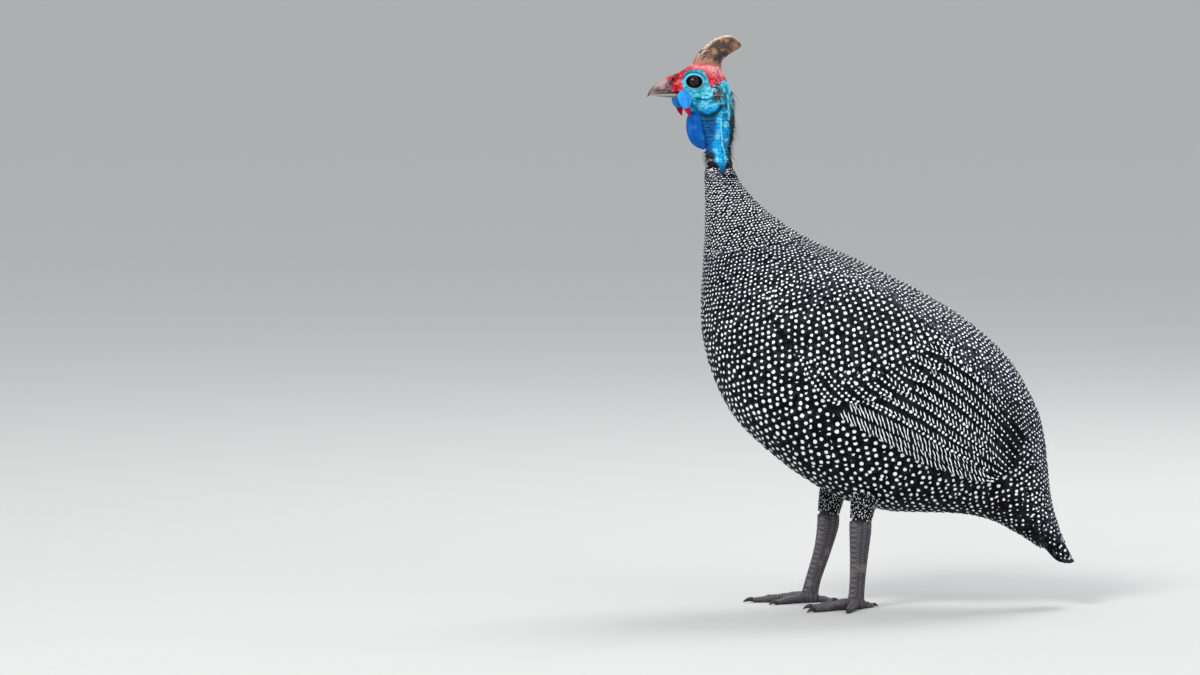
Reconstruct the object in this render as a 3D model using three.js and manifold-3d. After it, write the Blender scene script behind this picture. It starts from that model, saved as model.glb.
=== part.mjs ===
// A helmeted guineafowl standing alert, life size.
// Millimetres, +Z up, facing -X, the bird's left at -Y, the floor at Z = 0.
import * as THREE from "three";
import { mergeVertices } from "three/addons/utils/BufferGeometryUtils.js";
import Module from "manifold-3d";

const wasm = await Module();
wasm.setup();

// Driving dimensions
const GAP = 0.3; // clearance that neighbouring pieces keep
const SIDES = { left: -1, right: 1 }; // sign of Y on each side
const HEAD_TURN = 17; // degrees that the head is turned to the bird's left
const TURN_FROM_Z = 350; // height where the neck starts to turn
const TURN_TO_Z = 402; // height from which the head is fully turned
const TURN_AXIS_X = -121; // the vertical line that the head turns about

// Sections of the body from the top of the feathered neck to the root of the tail, each an ellipse
// seen edge on.
// under and over: its lowest and highest point in side view, as [x, z]. wide: half width.
const BODY = [
  { under: [-134.6, 387.6], over: [-110.8, 387.6], wide: 10.4 },
  { under: [-135, 372], over: [-104, 371], wide: 13.4 },
  { under: [-134.4, 350], over: [-89, 353], wide: 19.5 },
  { under: [-134.8, 325], over: [-67.5, 335], wide: 31 },
  { under: [-136.4, 297], over: [-39.5, 318.5], wide: 46 },
  { under: [-138, 266], over: [-9.5, 306], wide: 62 },
  { under: [-136.8, 236], over: [22, 291], wide: 73.5 },
  { under: [-128.6, 204], over: [54, 274.4], wide: 80.5 },
  { under: [-111.5, 168], over: [84, 256.6], wide: 82 },
  { under: [-86, 141], over: [110, 236.6], wide: 78.5 },
  { under: [-52, 114], over: [131.5, 214.5], wide: 71.5 },
  { under: [-14, 92.5], over: [146.5, 190], wide: 61.5 },
  { under: [24, 83], over: [156, 169.5], wide: 51.5 },
  { under: [58, 81.5], over: [161.6, 147], wide: 42 },
  { under: [86, 80.5], over: [164.4, 122], wide: 33 },
  { under: [112, 75.5], over: [167, 98], wide: 27 },
  { under: [134, 65], over: [171.5, 79], wide: 22 },
  { under: [158, 51], over: [177.5, 59], wide: 18 },
];
const NECK_END = 2.6; // station where the feathered neck meets the torso
const TORSO_END = 13.4; // station where the torso meets the tail
const FRONT_STEP = 0.06; // stations of clearance between two lengths of the body

// Level slices of the head and bare neck. front and back: where a slice starts and ends. wide: half width.
const HEAD = [
  { z: 474, front: -142.5, back: -126, wide: 4 },
  { z: 470, front: -149.6, back: -121.8, wide: 7.5 },
  { z: 465.5, front: -157, back: -119.3, wide: 10 },
  { z: 461.5, front: -165.5, back: -117, wide: 11.4 },
  { z: 457, front: -169, back: -114.6, wide: 12.2 },
  { z: 452, front: -170, back: -112.6, wide: 12.8 },
  { z: 447, front: -168, back: -110.6, wide: 13 },
  { z: 442, front: -161, back: -109.8, wide: 12.8 },
  { z: 436, front: -153, back: -109.6, wide: 12 },
  { z: 430, front: -147, back: -109.3, wide: 10.8 },
  { z: 422, front: -141.5, back: -109.2, wide: 9.6 },
  { z: 412, front: -137.5, back: -110, wide: 8.8 },
  { z: 402, front: -134.6, back: -112.2, wide: 8.3 },
  { z: 394, front: -133.4, back: -113, wide: 8.6 },
  { z: 387.9, front: -133.6, back: -111.4, wide: 9.6 },
];
const HEAD_BASE_Z = 404; // where the head meets the bare neck
const FACE_TAPER = 0.3; // share of its width that a slice loses towards the bill

// The casque, as sections like those of the body
const CASQUE = [
  { under: [-121, 466], over: [-147.5, 470], wide: 6.2 },
  { under: [-119.5, 474.5], over: [-140.4, 481.5], wide: 5.4 },
  { under: [-114.7, 478.6], over: [-131.9, 489.6], wide: 5 },
  { under: [-109, 482], over: [-122, 494.9], wide: 4.6 },
  { under: [-104.4, 484.4], over: [-112.1, 496.2], wide: 3.9 },
  { under: [-101.8, 486.6], over: [-104.6, 491.6], wide: 2.4 },
];

// The bill. Each row gives, at x, the top and bottom of the piece in side view and its half width.
const BILL_UPPER = [
  { x: -167.6, top: 461.4, bottom: 448.4, wide: 6.2 },
  { x: -172, top: 460, bottom: 448.4, wide: 5.6 },
  { x: -177, top: 457.4, bottom: 448.2, wide: 4.6 },
  { x: -181.5, top: 453.6, bottom: 447.4, wide: 3.4 },
  { x: -185, top: 449.2, bottom: 445.6, wide: 2 },
  { x: -187, top: 444.8, bottom: 443.6, wide: 0.7 },
];
const BILL_LOWER = [
  { x: -156, top: 447.6, bottom: 443.6, wide: 6.4 },
  { x: -162, top: 447.7, bottom: 443, wide: 6 },
  { x: -168, top: 447.9, bottom: 443.2, wide: 5.2 },
  { x: -174, top: 448, bottom: 443.8, wide: 4.2 },
  { x: -179.5, top: 447.4, bottom: 444.4, wide: 3 },
  { x: -183, top: 446, bottom: 444.8, wide: 1.2 },
];
const BILL_LOWER_ROOT_X = -158.6; // where the lower half of the bill meets the head
const BILL_UPPER_ROOT_X = -168.4; // where the upper half of the bill meets the head
const MOUTH_Z = 448; // height of the line of the mouth
const MOUTH = { endX: -155.4, deep: 2.6, high: 0.9 };
const NOSTRIL = { x: -164.6, z: 457.6, long: 2.9, wide: 1.1, deep: 1.6, rise: 32 };
const CERE = { x: -163, z: 456.4, long: 8, wide: 1.7, high: 5, sunk: 0.7 };

const EYE = { x: -147.4, y: 7.1, z: 457, radius: 5.9 };
const LID = { y: 11.3, across: 6.5, high: 5.6, thick: 1.5 };
const BROW = { x: -148.5, z: 464.4, long: 9, wide: 1.8, high: 1.7 };
const EAR = { x: -128.6, z: 446.4, radius: 3.2, rim: 0.9, deep: 2.4, lean: 8, proud: 0.6 };

// A wattle hangs from the corner of the mouth as a thin leaf with a pointed tip.
const WATTLE = { x: -156.5, y: 7.6, z: 448.5, drop: 22, lean: 4.4, splay: 5, half: 6.2, thick: 1.5 };
const JOWL = { x: -135.5, z: 429.6, reach: 10.5, rise: 8, radius: 2.2 };
const FOLDS = [
  { from: [-121, 441], to: [-119.5, 420], radius: 1.1 },
  { from: [-147, 443.5], to: [-132, 442], radius: 1 },
];

// The folded wing, in stations along the body and degrees round it from the back
const WING = { front: 5.1, tip: 12.4, high: 37, low: 106, thick: 3.2 };

// Rows of wing feathers, from the flight feathers up. Each row runs from its upper feather to its lower one.
// root and tip: [station, degrees] of those two. lift: height over the body at root and tip.
const WING_ROWS = [
  { count: 3, roots: [[10.6, 84], [9.4, 98]], tips: [[13.3, 80], [12.2, 103]], half: 8, lift: [1, 1.9] },
  { count: 7, roots: [[10.2, 43], [7.6, 97]], tips: [[13.3, 46], [10.9, 103]], half: 10.4, lift: [1.2, 3.7] },
  { count: 6, roots: [[7.8, 46], [6.2, 91]], tips: [[10.6, 42], [8.6, 102]], half: 11, lift: [1.3, 5.6] },
  { count: 5, roots: [[6, 47], [5.3, 81]], tips: [[8.2, 45], [6.9, 96]], half: 12, lift: [1.2, 6.8] },
];
const VANE = { thick: 0.8, tilt: 1.1, steps: 4 };

// The tail. The core is shrunk to leave room for its feathers.
const TAIL = { root: 13.46, coreEnd: 16.2, shrink: -3 };
const TAIL_FAN = {
  pairs: 4, rootX: 143, rootZ: 90, tipX: 184.6, tipZ: 41.4, spread: 20, arch: 6, half: 7.6, step: 1.6,
};
const TAIL_ROWS = [
  { count: 5, around: 230, stations: [14.8, 16.9], half: 10, lift: [-4.4, 0] },
  { count: 6, around: 280, stations: [13.8, 15.7], half: 14, lift: [-4.4, 0.6] },
];

// Legs. The knee-side end of each is hidden in the belly.
const LEGS = {
  left: {
    shin: [[9, -24, 118], [4, -25, 96], [0.6, -25.5, 76]],
    tarsus: [[0.6, -25.5, 76], [0.4, -25.6, 66], [-1, -26, 40], [-2.4, -26.4, 18], [-3.4, -26.6, 5]],
    heading: 42,
  },
  right: {
    shin: [[-15, 30, 120], [-22, 31, 98], [-26, 31.5, 77]],
    tarsus: [[-26, 31.5, 77], [-26.4, 31.6, 67], [-31, 32, 46], [-39, 32.8, 20], [-42.4, 33, 5]],
    heading: 2,
  },
};
const SHIN_RADII = [16.5, 12.2, 9.6];
const ANKLE_Z = 77; // where shin and tarsus meet
const FOOT_Z = 14; // where tarsus and foot meet
const TARSUS = { top: 9.4, middle: 7.3, low: 6.5, squash: 0.66 };

// Toes. turn: degrees outward from the foot's heading. root and tip: radii. claw: length beyond the toe.
const TOES = [
  { name: "inner", turn: -37, long: 38, root: 4.6, tip: 2.5, claw: 8 },
  { name: "middle", turn: 0, long: 49, root: 4.8, tip: 2.6, claw: 9 },
  { name: "outer", turn: 37, long: 40, root: 4.6, tip: 2.5, claw: 8 },
  { name: "rear", turn: 180, long: 20, root: 3.8, tip: 2.2, claw: 6.5 },
];
const TOE_SINK = 0.9; // how far a toe's round is cut off flat by the floor
const CLAW = { middle: 1.2, tip: 0.4 }; // heights of a claw's spine over the floor

// Materials, with the photograph's colours
const paint = (color, roughness) => new THREE.MeshStandardMaterial({ color, roughness, metalness: 0 });
const PLUMAGE = paint("#2b2b30", 0.85);
const WING_PLUMAGE = paint("#232328", 0.8);
const SKIN_BLUE = paint("#45b9e0", 0.55);
const SKIN_PALE = paint("#7fd4ee", 0.55);
const WATTLE_BLUE = paint("#3f93ea", 0.5);
const THROAT_BLUE = paint("#1b54c8", 0.5);
const CASQUE_HORN = paint("#a37a5c", 0.7);
const BILL_HORN = paint("#a08a86", 0.5);
const BILL_DARK = paint("#4b403f", 0.5);
const EYE_DARK = paint("#120c0a", 0.08);
const LEG_SCALE = paint("#3a363d", 0.7);
const CLAW_HORN = paint("#1f1c1c", 0.5);

// Solids

// A closed three.js geometry as a manifold solid, turned right side out.
function solid(geometry) {
  const bare = geometry.clone();
  for (const name of Object.keys(bare.attributes)) if (name !== "position") bare.deleteAttribute(name);
  const merged = mergeVertices(bare, 1e-4);
  const vertProperties = new Float32Array(merged.attributes.position.array);
  const kept = [];
  for (let i = 0; i < merged.index.count; i += 3) {
    const [a, b, c] = [0, 1, 2].map((k) => merged.index.getX(i + k));
    if (a !== b && b !== c && a !== c) kept.push(a, b, c);
  }
  const triVerts = new Uint32Array(kept);
  const made = new wasm.Manifold(new wasm.Mesh({ numProp: 3, vertProperties, triVerts }));
  if (made.volume() > 0) return made;
  const flipped = kept.map((_, i) => kept[i - (i % 3) + [0, 2, 1][i % 3]]);
  return new wasm.Manifold(new wasm.Mesh({ numProp: 3, vertProperties, triVerts: new Uint32Array(flipped) }));
}

const join = (solids) => wasm.Manifold.union(solids);

// The largest closed surface of a solid.
function largest(made) {
  return made.decompose().sort((a, b) => b.volume() - a.volume())[0];
}

// A point turned with the neck and head about the vertical line at TURN_AXIS_X.
function turned(point) {
  const share = THREE.MathUtils.smoothstep(point.z, TURN_FROM_Z, TURN_TO_Z);
  const axis = new THREE.Vector3(TURN_AXIS_X, 0, 0);
  const angle = THREE.MathUtils.degToRad(HEAD_TURN) * share;
  return point.clone().sub(axis).applyAxisAngle(new THREE.Vector3(0, 0, 1), angle).add(axis);
}

// A named mesh of a solid, of which place moves each vertex.
function meshOf(name, made, material, place = (point) => point) {
  const mesh = largest(made).getMesh();
  const positions = new Float32Array(mesh.numVert * 3);
  for (let i = 0; i < mesh.numVert; i++) {
    place(new THREE.Vector3().fromArray(mesh.vertProperties, i * mesh.numProp)).toArray(positions, i * 3);
  }
  const geometry = new THREE.BufferGeometry();
  geometry.setAttribute("position", new THREE.BufferAttribute(positions, 3));
  geometry.setIndex(new THREE.BufferAttribute(new Uint32Array(mesh.triVerts), 1));
  geometry.computeVertexNormals();
  const piece = new THREE.Mesh(geometry, material);
  piece.name = name;
  return piece;
}

// A closed tube. at(t, angle, r) is its point at share t along it, at an angle round it and at share r
// of its radius.
function loft(at, around, along) {
  const geometry = new THREE.CylinderGeometry(1, 1, 1, around, along);
  const p = geometry.attributes.position;
  for (let i = 0; i < p.count; i++) {
    const [x, y, z] = [p.getX(i), p.getY(i), p.getZ(i)];
    const place = at(0.5 - y, Math.atan2(x, z), Math.min(Math.hypot(x, z), 1));
    p.setXYZ(i, place.x, place.y, place.z);
  }
  return solid(geometry);
}

// A smooth value between the rows of a list, at share t of its length.
function between(values, t) {
  const line = new THREE.CatmullRomCurve3(values.map((v, i) => new THREE.Vector3(i, v, 0)));
  return line.getPoint(THREE.MathUtils.clamp(t, 0, 1)).y;
}

// A tapering limb through points, of radius(t) fore and aft and squash times that sideways.
function limb(points, radius, around = 12, along = 12, squash = 1) {
  const curve = new THREE.CatmullRomCurve3(points.map((p) => new THREE.Vector3(...p)));
  const ends = new THREE.Vector3().subVectors(curve.getPoint(1), curve.getPoint(0)).normalize();
  const sideways = Math.abs(ends.y) > 0.9 ? new THREE.Vector3(1, 0, 0) : new THREE.Vector3(0, 1, 0);
  return loft((t, angle, r) => {
    const ahead = curve.getTangent(t);
    const up = new THREE.Vector3().crossVectors(ahead, sideways).normalize();
    const side = new THREE.Vector3().crossVectors(up, ahead).normalize();
    return curve.getPoint(t)
      .addScaledVector(up, Math.cos(angle) * radius(t) * r)
      .addScaledVector(side, Math.sin(angle) * radius(t) * squash * r);
  }, around, along);
}

function ellipsoid(x, y, z, rx, ry, rz, around = 16, high = 10) {
  return solid(new THREE.SphereGeometry(1, around, high).scale(rx, ry, rz).translate(x, y, z));
}

function box(x0, y0, z0, x1, y1, z1) {
  const geometry = new THREE.BoxGeometry(x1 - x0, y1 - y0, z1 - z0);
  return solid(geometry.translate((x0 + x1) / 2, (y0 + y1) / 2, (z0 + z1) / 2));
}

// Sections seen edge on

// Curves through the rows of a list such as BODY or CASQUE.
function sections(rows) {
  return {
    count: rows.length - 1,
    under: new THREE.CatmullRomCurve3(rows.map((s) => new THREE.Vector3(s.under[0], 0, s.under[1]))),
    over: new THREE.CatmullRomCurve3(rows.map((s) => new THREE.Vector3(s.over[0], 0, s.over[1]))),
    wide: new THREE.CatmullRomCurve3(rows.map((s, i) => new THREE.Vector3(i, s.wide, 0))),
  };
}

// A point at a station, which may lie between rows. angle: 0 at over, 180 degrees at under. side: sign of Y.
function sectionPoint(shape, station, angle, side, grow = 0, r = 1) {
  const t = THREE.MathUtils.clamp(station / shape.count, 0, 1);
  const under = shape.under.getPoint(t);
  const over = shape.over.getPoint(t);
  const axis = new THREE.Vector3().subVectors(over, under);
  const deep = axis.length() / 2 + grow;
  const wide = shape.wide.getPoint(t).y + grow;
  return new THREE.Vector3().addVectors(under, over).multiplyScalar(0.5)
    .addScaledVector(axis.normalize(), deep * Math.cos(angle) * r)
    .add(new THREE.Vector3(0, side * wide * Math.sin(angle) * r, 0));
}

function sectionSolid(shape, from, to, around, along, grow = 0) {
  return loft((t, angle, r) => sectionPoint(shape, from + (to - from) * t, angle, 1, grow, r), around, along);
}

const body = sections(BODY);
const bodyPoint = (station, angle, side, grow = 0, r = 1) =>
  sectionPoint(body, station, angle, side, grow, r);

// The body's outward normal.
function bodyNormal(station, angle, side) {
  const step = 0.03;
  const along = bodyPoint(station + step, angle, side).sub(bodyPoint(station - step, angle, side));
  const round = bodyPoint(station, angle + step, side).sub(bodyPoint(station, angle - step, side));
  return new THREE.Vector3().crossVectors(along, round).multiplyScalar(side).normalize();
}

// Neck and torso
const BODY_AROUND = 32;
const parts = [];
const add = (name, made, material, place) => parts.push(meshOf(name, made, material, place));

function bodyLength(from, to, along, grow = 0) {
  return sectionSolid(body, from, to, BODY_AROUND, along, grow);
}

const torso = bodyLength(NECK_END + FRONT_STEP / 2, TORSO_END, 16);
const torsoRoom = bodyLength(NECK_END + FRONT_STEP / 2, TORSO_END, 16, GAP);
add("torso", torso, PLUMAGE);
add("neck_feathered", bodyLength(0, NECK_END - FRONT_STEP / 2, 6), PLUMAGE, turned);

// Head and bare neck

// A level slice's point, egg shaped with its narrow end forward.
function headPoint(t, angle, r, grow = 0) {
  const z = between(HEAD.map((s) => s.z), t);
  const front = between(HEAD.map((s) => s.front), t) - grow;
  const back = between(HEAD.map((s) => s.back), t) + grow;
  const wide = between(HEAD.map((s) => s.wide), t) + grow;
  const u = Math.cos(angle);
  const taper = 1 - FACE_TAPER * (1 - u) / 2;
  const x = (front + back) / 2 + ((back - front) / 2) * u * r;
  return new THREE.Vector3(x, wide * Math.sin(angle) * taper * r, z);
}

function headSolid(grow = 0) {
  const made = loft((t, angle, r) => headPoint(t, angle, r, grow), 20, 20);
  return grow ? join([made, made.translate([0, 0, grow]), made.translate([0, 0, -grow])]) : made;
}

// A tapering piece of the bill from its rows.
function billSolid(rows) {
  return loft((t, angle, r) => {
    const [x, top, bottom, wide] = ["x", "top", "bottom", "wide"].map((key) =>
      between(rows.map((s) => s[key]), t));
    const high = ((top - bottom) / 2) * Math.cos(angle) * r;
    return new THREE.Vector3(x, wide * Math.sin(angle) * r, (top + bottom) / 2 + high);
  }, 10, 8);
}

// How far out the head's side lies at a place in side view.
function headSide(x, z) {
  let [low, high] = [0, 1];
  for (let i = 0; i < 20; i++) {
    const t = (low + high) / 2;
    if (between(HEAD.map((s) => s.z), t) > z) low = t;
    else high = t;
  }
  const [front, back] = [headPoint(low, Math.PI, 1).x, headPoint(low, 0, 1).x];
  const u = THREE.MathUtils.clamp((x - (front + back) / 2) / ((back - front) / 2), -0.98, 0.98);
  return headPoint(low, Math.acos(u), 1).y;
}

// A ridge of skin along the head's side through points in side view, thickest in the middle.
function skinFold(points, radius, side) {
  const spine = points.map(([x, z]) => [x, side * (headSide(x, z) - radius * 0.35), z]);
  return limb(spine, (t) => radius * (0.35 + 0.65 * Math.sin(Math.PI * t)), 5, 6);
}

const jowl = (side) => skinFold([
  [JOWL.x - JOWL.reach, JOWL.z + JOWL.rise],
  [JOWL.x - JOWL.reach * 0.5, JOWL.z + JOWL.rise * 0.3],
  [JOWL.x, JOWL.z],
  [JOWL.x + JOWL.reach * 0.6, JOWL.z + JOWL.rise * 0.4],
  [JOWL.x + JOWL.reach, JOWL.z + JOWL.rise],
], JOWL.radius, side);

// A lid, as a ring round the eye.
function lidRing(side) {
  const ring = new THREE.TorusGeometry(1, 0.24, 5, 16).scale(LID.across, LID.high, LID.thick / 0.24);
  return solid(ring.rotateX(Math.PI / 2).rotateZ(side * 0.14).translate(EYE.x, side * (LID.y - 1), EYE.z));
}

const eyeSolid = (side, grow = 0) =>
  ellipsoid(EYE.x, side * EYE.y, EYE.z, EYE.radius + grow, EYE.radius + grow, EYE.radius + grow, 14, 8);

// The ear as a shallow cup that faces out and back.
function earCup(side, grow = 0) {
  const [rim, base] = [EAR.radius + grow, EAR.radius * 0.8 + grow];
  const floor = -EAR.deep - grow;
  const outline = [[0, floor], [base, floor], [rim, 0], [rim - EAR.rim, 0.25], [0, -1.1]];
  const full = [[0, -EAR.deep - grow], [base, -EAR.deep - grow], [rim, 0], [rim, 3], [0, 3]];
  const cup = new THREE.LatheGeometry((grow ? full : outline).map(([x, y]) => new THREE.Vector2(x, y)), 12);
  cup.scale(1, 1, 1.3).rotateZ((side < 0 ? Math.PI : 0) - side * THREE.MathUtils.degToRad(EAR.lean));
  return solid(cup.translate(EAR.x, side * (headSide(EAR.x, EAR.z) + EAR.proud), EAR.z));
}

const wholeHead = headSolid();
const above = box(-220, -40, HEAD_BASE_Z + GAP / 2, -60, 40, 520);
const below = box(-220, -40, 300, -60, 40, HEAD_BASE_Z - GAP / 2);
const billRoom = join([
  box(-200, -20, 430, BILL_LOWER_ROOT_X, 20, MOUTH_Z),
  box(-200, -20, 440, BILL_UPPER_ROOT_X, 20, 480),
]);

let head = wholeHead.intersect(above).subtract(billRoom);
for (const side of Object.values(SIDES)) {
  const browY = side * (headSide(BROW.x, BROW.z) - 0.5);
  const cereY = side * (headSide(CERE.x, CERE.z) - CERE.sunk);
  head = join([
    head,
    lidRing(side),
    jowl(side),
    ellipsoid(BROW.x, browY, BROW.z, BROW.long, BROW.wide, BROW.high, 10, 6),
    ellipsoid(CERE.x, cereY, CERE.z, CERE.long, CERE.wide, CERE.high, 10, 6),
    ...FOLDS.map((fold) => skinFold([fold.from, fold.to], fold.radius, side)),
  ]);
}
head = head.subtract(billRoom);
for (const side of Object.values(SIDES)) {
  const nostril = new THREE.SphereGeometry(1, 8, 5).scale(NOSTRIL.long, NOSTRIL.deep, NOSTRIL.wide);
  nostril.rotateY(THREE.MathUtils.degToRad(NOSTRIL.rise));
  nostril.translate(NOSTRIL.x, side * (headSide(CERE.x, CERE.z) + 1), NOSTRIL.z);
  const lip = headSide(MOUTH.endX, MOUTH_Z) - MOUTH.deep;
  const mouth = box(BILL_LOWER_ROOT_X - 1, Math.min(side * lip, side * 20), MOUTH_Z - MOUTH.high,
    MOUTH.endX, Math.max(side * lip, side * 20), MOUTH_Z);
  head = head.subtract(eyeSolid(side, GAP)).subtract(earCup(side, GAP));
  head = head.subtract(solid(nostril)).subtract(mouth);
}
head = head.intersect(above);

const throatShape = limb(
  [[-139.5, 0, 432], [-143.6, 0, 425], [-142.4, 0, 414], [-138, 0, 404], [-134.6, 0, 398.6]],
  (t) => between([2.4, 6.4, 7.4, 6, 1.6], t), 12, 10, 0.85);
const throat = throatShape.subtract(headSolid(GAP));
add("head", head, SKIN_BLUE, turned);

const bareNeck = wholeHead.intersect(below);
add("neck_bare", bareNeck, SKIN_BLUE, turned);
add("throat_lobe", throat, THROAT_BLUE, turned);

const casqueShape = sections(CASQUE);
const casque = sectionSolid(casqueShape, 0, CASQUE.length - 1, 12, 8).subtract(headSolid(GAP));
add("casque", casque, CASQUE_HORN, turned);
const upperRoom = box(BILL_UPPER_ROOT_X - GAP, -20, 430, -140, 20, 480);
add("bill_upper", billSolid(BILL_UPPER).subtract(upperRoom), BILL_HORN,
  turned);
const billLower = billSolid(BILL_LOWER).subtract(box(BILL_LOWER_ROOT_X - GAP, -20, 430, -140, 20, 480));
add("bill_lower", billLower.subtract(billSolid(BILL_UPPER).translate([0, 0, -GAP])), BILL_DARK, turned);

for (const [name, side] of Object.entries(SIDES)) {
  add(`eye_${name}`, eyeSolid(side), EYE_DARK, turned);
  add(`ear_${name}`, earCup(side), SKIN_PALE, turned);
  const at = (down) => [
    WATTLE.x + WATTLE.lean * down, side * (WATTLE.y + WATTLE.splay * down), WATTLE.z - WATTLE.drop * down];
  const leaf = limb([at(0), at(0.35), at(0.7), at(1)], (t) => between([3.4, 6, 5.4, 3.4, 1.1], t), 8, 9,
    WATTLE.thick / WATTLE.half);
  const room = join([headSolid(GAP), billLower.translate([0, 0, -GAP]), billLower]);
  add(`wattle_${name}`, leaf.subtract(room), WATTLE_BLUE, turned);
}

// Tail and wings
const radians = THREE.MathUtils.degToRad;

// A thin feather vane through rows of { at, across, normal, half }: at is the middle, half its reach
// to each side.
function vane(rows, thick = VANE.thick) {
  const positions = [];
  for (const { at, across, normal, half } of rows) {
    for (const [j, k] of [[-1, 0], [1, 0], [1, 1], [-1, 1]]) {
      positions.push(...at.clone().addScaledVector(across, j * half).addScaledVector(normal, -k * thick));
    }
  }
  const index = [0, 2, 1, 0, 3, 2];
  rows.slice(1).forEach((_, i) => {
    for (const j of [0, 1, 2, 3]) {
      const [a, b] = [i * 4 + j, i * 4 + ((j + 1) % 4)];
      if (j === 2) index.push(a, b, a + 4, b, b + 4, a + 4);
      else index.push(a, b, b + 4, a, b + 4, a + 4);
    }
  });
  const end = (rows.length - 1) * 4;
  index.push(end, end + 1, end + 2, end, end + 2, end + 3);
  const geometry = new THREE.BufferGeometry();
  geometry.setAttribute("position", new THREE.Float32BufferAttribute(positions, 3));
  geometry.setIndex(index);
  return solid(geometry);
}

// A vane's half width along it, rounded at the tip.
const blade = (half, t) => {
  const tip = t < 0.7 ? 1 : Math.sqrt(1.03 - ((t - 0.7) / 0.3) ** 2);
  return half * Math.min(1, 0.7 + t) * tip;
};

// A vane over the body from root to tip, both [station, degrees]. The edge away from the back is raised.
function bodyVane(side, root, tip, half, lift) {
  const place = (t) => [root[0] + (tip[0] - root[0]) * t, radians(root[1] + (tip[1] - root[1]) * t)];
  const rows = [];
  for (let i = 0; i <= VANE.steps; i++) {
    const t = i / VANE.steps;
    const [station, angle] = place(t);
    const normal = bodyNormal(station, angle, side);
    const ahead = bodyPoint(...place(t + 0.05), side).sub(bodyPoint(...place(t - 0.05), side)).normalize();
    const across = new THREE.Vector3().crossVectors(ahead, normal).multiplyScalar(side);
    const down = bodyPoint(station, angle + 0.1, side).sub(bodyPoint(station, angle, side));
    if (across.dot(down) < 0) across.negate();
    across.addScaledVector(normal, VANE.tilt / half).normalize();
    const height = lift[0] + (lift[1] - lift[0]) * Math.sqrt(t);
    const at = bodyPoint(station, angle, side).addScaledVector(normal, height);
    rows.push({ at, across, normal, half: blade(half, t) });
  }
  return vane(rows);
}

// A row of vanes whose roots and tips are spread evenly between its first and last.
function wingRow(side, row) {
  const share = (pair, f) => pair[0].map((v, k) => v + (pair[1][k] - v) * f);
  return Array.from({ length: row.count }, (_, i) => {
    const f = i / (row.count - 1);
    return bodyVane(side, share(row.roots, f), share(row.tips, f), row.half, row.lift);
  });
}

// The body of the folded wing as a lens that its feathers grow from.
function wingCore(side) {
  const middle = radians((WING.high + WING.low) / 2);
  const half = radians((WING.low - WING.high) / 2);
  return loft((t, angle, r) => {
    const station = WING.front + (WING.tip - WING.front) * t;
    const share = Math.pow(Math.sin(Math.PI * Math.min(1, 0.02 + 0.95 * t)), 0.5);
    const across = Math.cos(angle) * half * share * r;
    const lift = Math.sin(angle) > 0 ? WING.thick * Math.sin(angle) * Math.min(1, share) * r : -2;
    const point = bodyPoint(station, middle + across, side);
    return point.addScaledVector(bodyNormal(station, middle + across, side), lift);
  }, 12, 10);
}

// The fan of tail feathers, the middle pair uppermost.
function tailFan() {
  const vanes = [];
  const ahead = new THREE.Vector3(TAIL_FAN.tipX - TAIL_FAN.rootX, 0, TAIL_FAN.tipZ - TAIL_FAN.rootZ);
  ahead.normalize();
  const up = new THREE.Vector3(-ahead.z, 0, ahead.x);
  for (let i = 0; i < TAIL_FAN.pairs * 2; i++) {
    const f = (i - TAIL_FAN.pairs + 0.5) / TAIL_FAN.pairs;
    const rank = Math.floor(Math.abs(i - TAIL_FAN.pairs + 0.5));
    const rows = [];
    for (let k = 0; k <= VANE.steps; k++) {
      const t = k / VANE.steps;
      const at = new THREE.Vector3(TAIL_FAN.rootX, 0, TAIL_FAN.rootZ);
      at.lerp(new THREE.Vector3(TAIL_FAN.tipX - Math.abs(f) * 3, 0, TAIL_FAN.tipZ), t);
      at.y = f * TAIL_FAN.spread * (0.45 + 0.55 * t);
      at.addScaledVector(up, -rank * TAIL_FAN.step - TAIL_FAN.arch * f * f * t);
      const lean = Math.atan2(2 * TAIL_FAN.arch * f * t, TAIL_FAN.spread);
      const across = new THREE.Vector3(0, Math.cos(lean), 0).addScaledVector(up, -Math.sin(lean));
      const normal = new THREE.Vector3(0, Math.sin(lean), 0).addScaledVector(up, Math.cos(lean));
      rows.push({ at, across, normal, half: blade(TAIL_FAN.half, t) });
    }
    vanes.push(vane(rows, 1));
  }
  return vanes;
}

// A ring of covert feathers round the tail's root.
function tailRow(row) {
  return Array.from({ length: row.count }, (_, i) => {
    const angle = ((i / (row.count - 1)) - 0.5) * row.around;
    const side = angle < 0 ? -1 : 1;
    const [from, to] = row.stations;
    return bodyVane(side, [from, Math.abs(angle)], [to, Math.abs(angle)], row.half, row.lift);
  });
}

const tailCore = sectionSolid(body, TAIL.root, TAIL.coreEnd, 20, 5, TAIL.shrink);
add("tail", join([tailCore, ...tailFan(), ...TAIL_ROWS.flatMap(tailRow)]).subtract(torsoRoom), WING_PLUMAGE);
const tailRoom = sectionSolid(body, TAIL.root - FRONT_STEP, BODY.length - 1, 20, 7, 1.6);
for (const [name, side] of Object.entries(SIDES)) {
  const feathers = WING_ROWS.flatMap((row) => wingRow(side, row));
  const wing = join([wingCore(side), ...feathers]).subtract(torsoRoom).subtract(tailRoom);
  add(`wing_${name}`, wing, WING_PLUMAGE);
}

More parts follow.
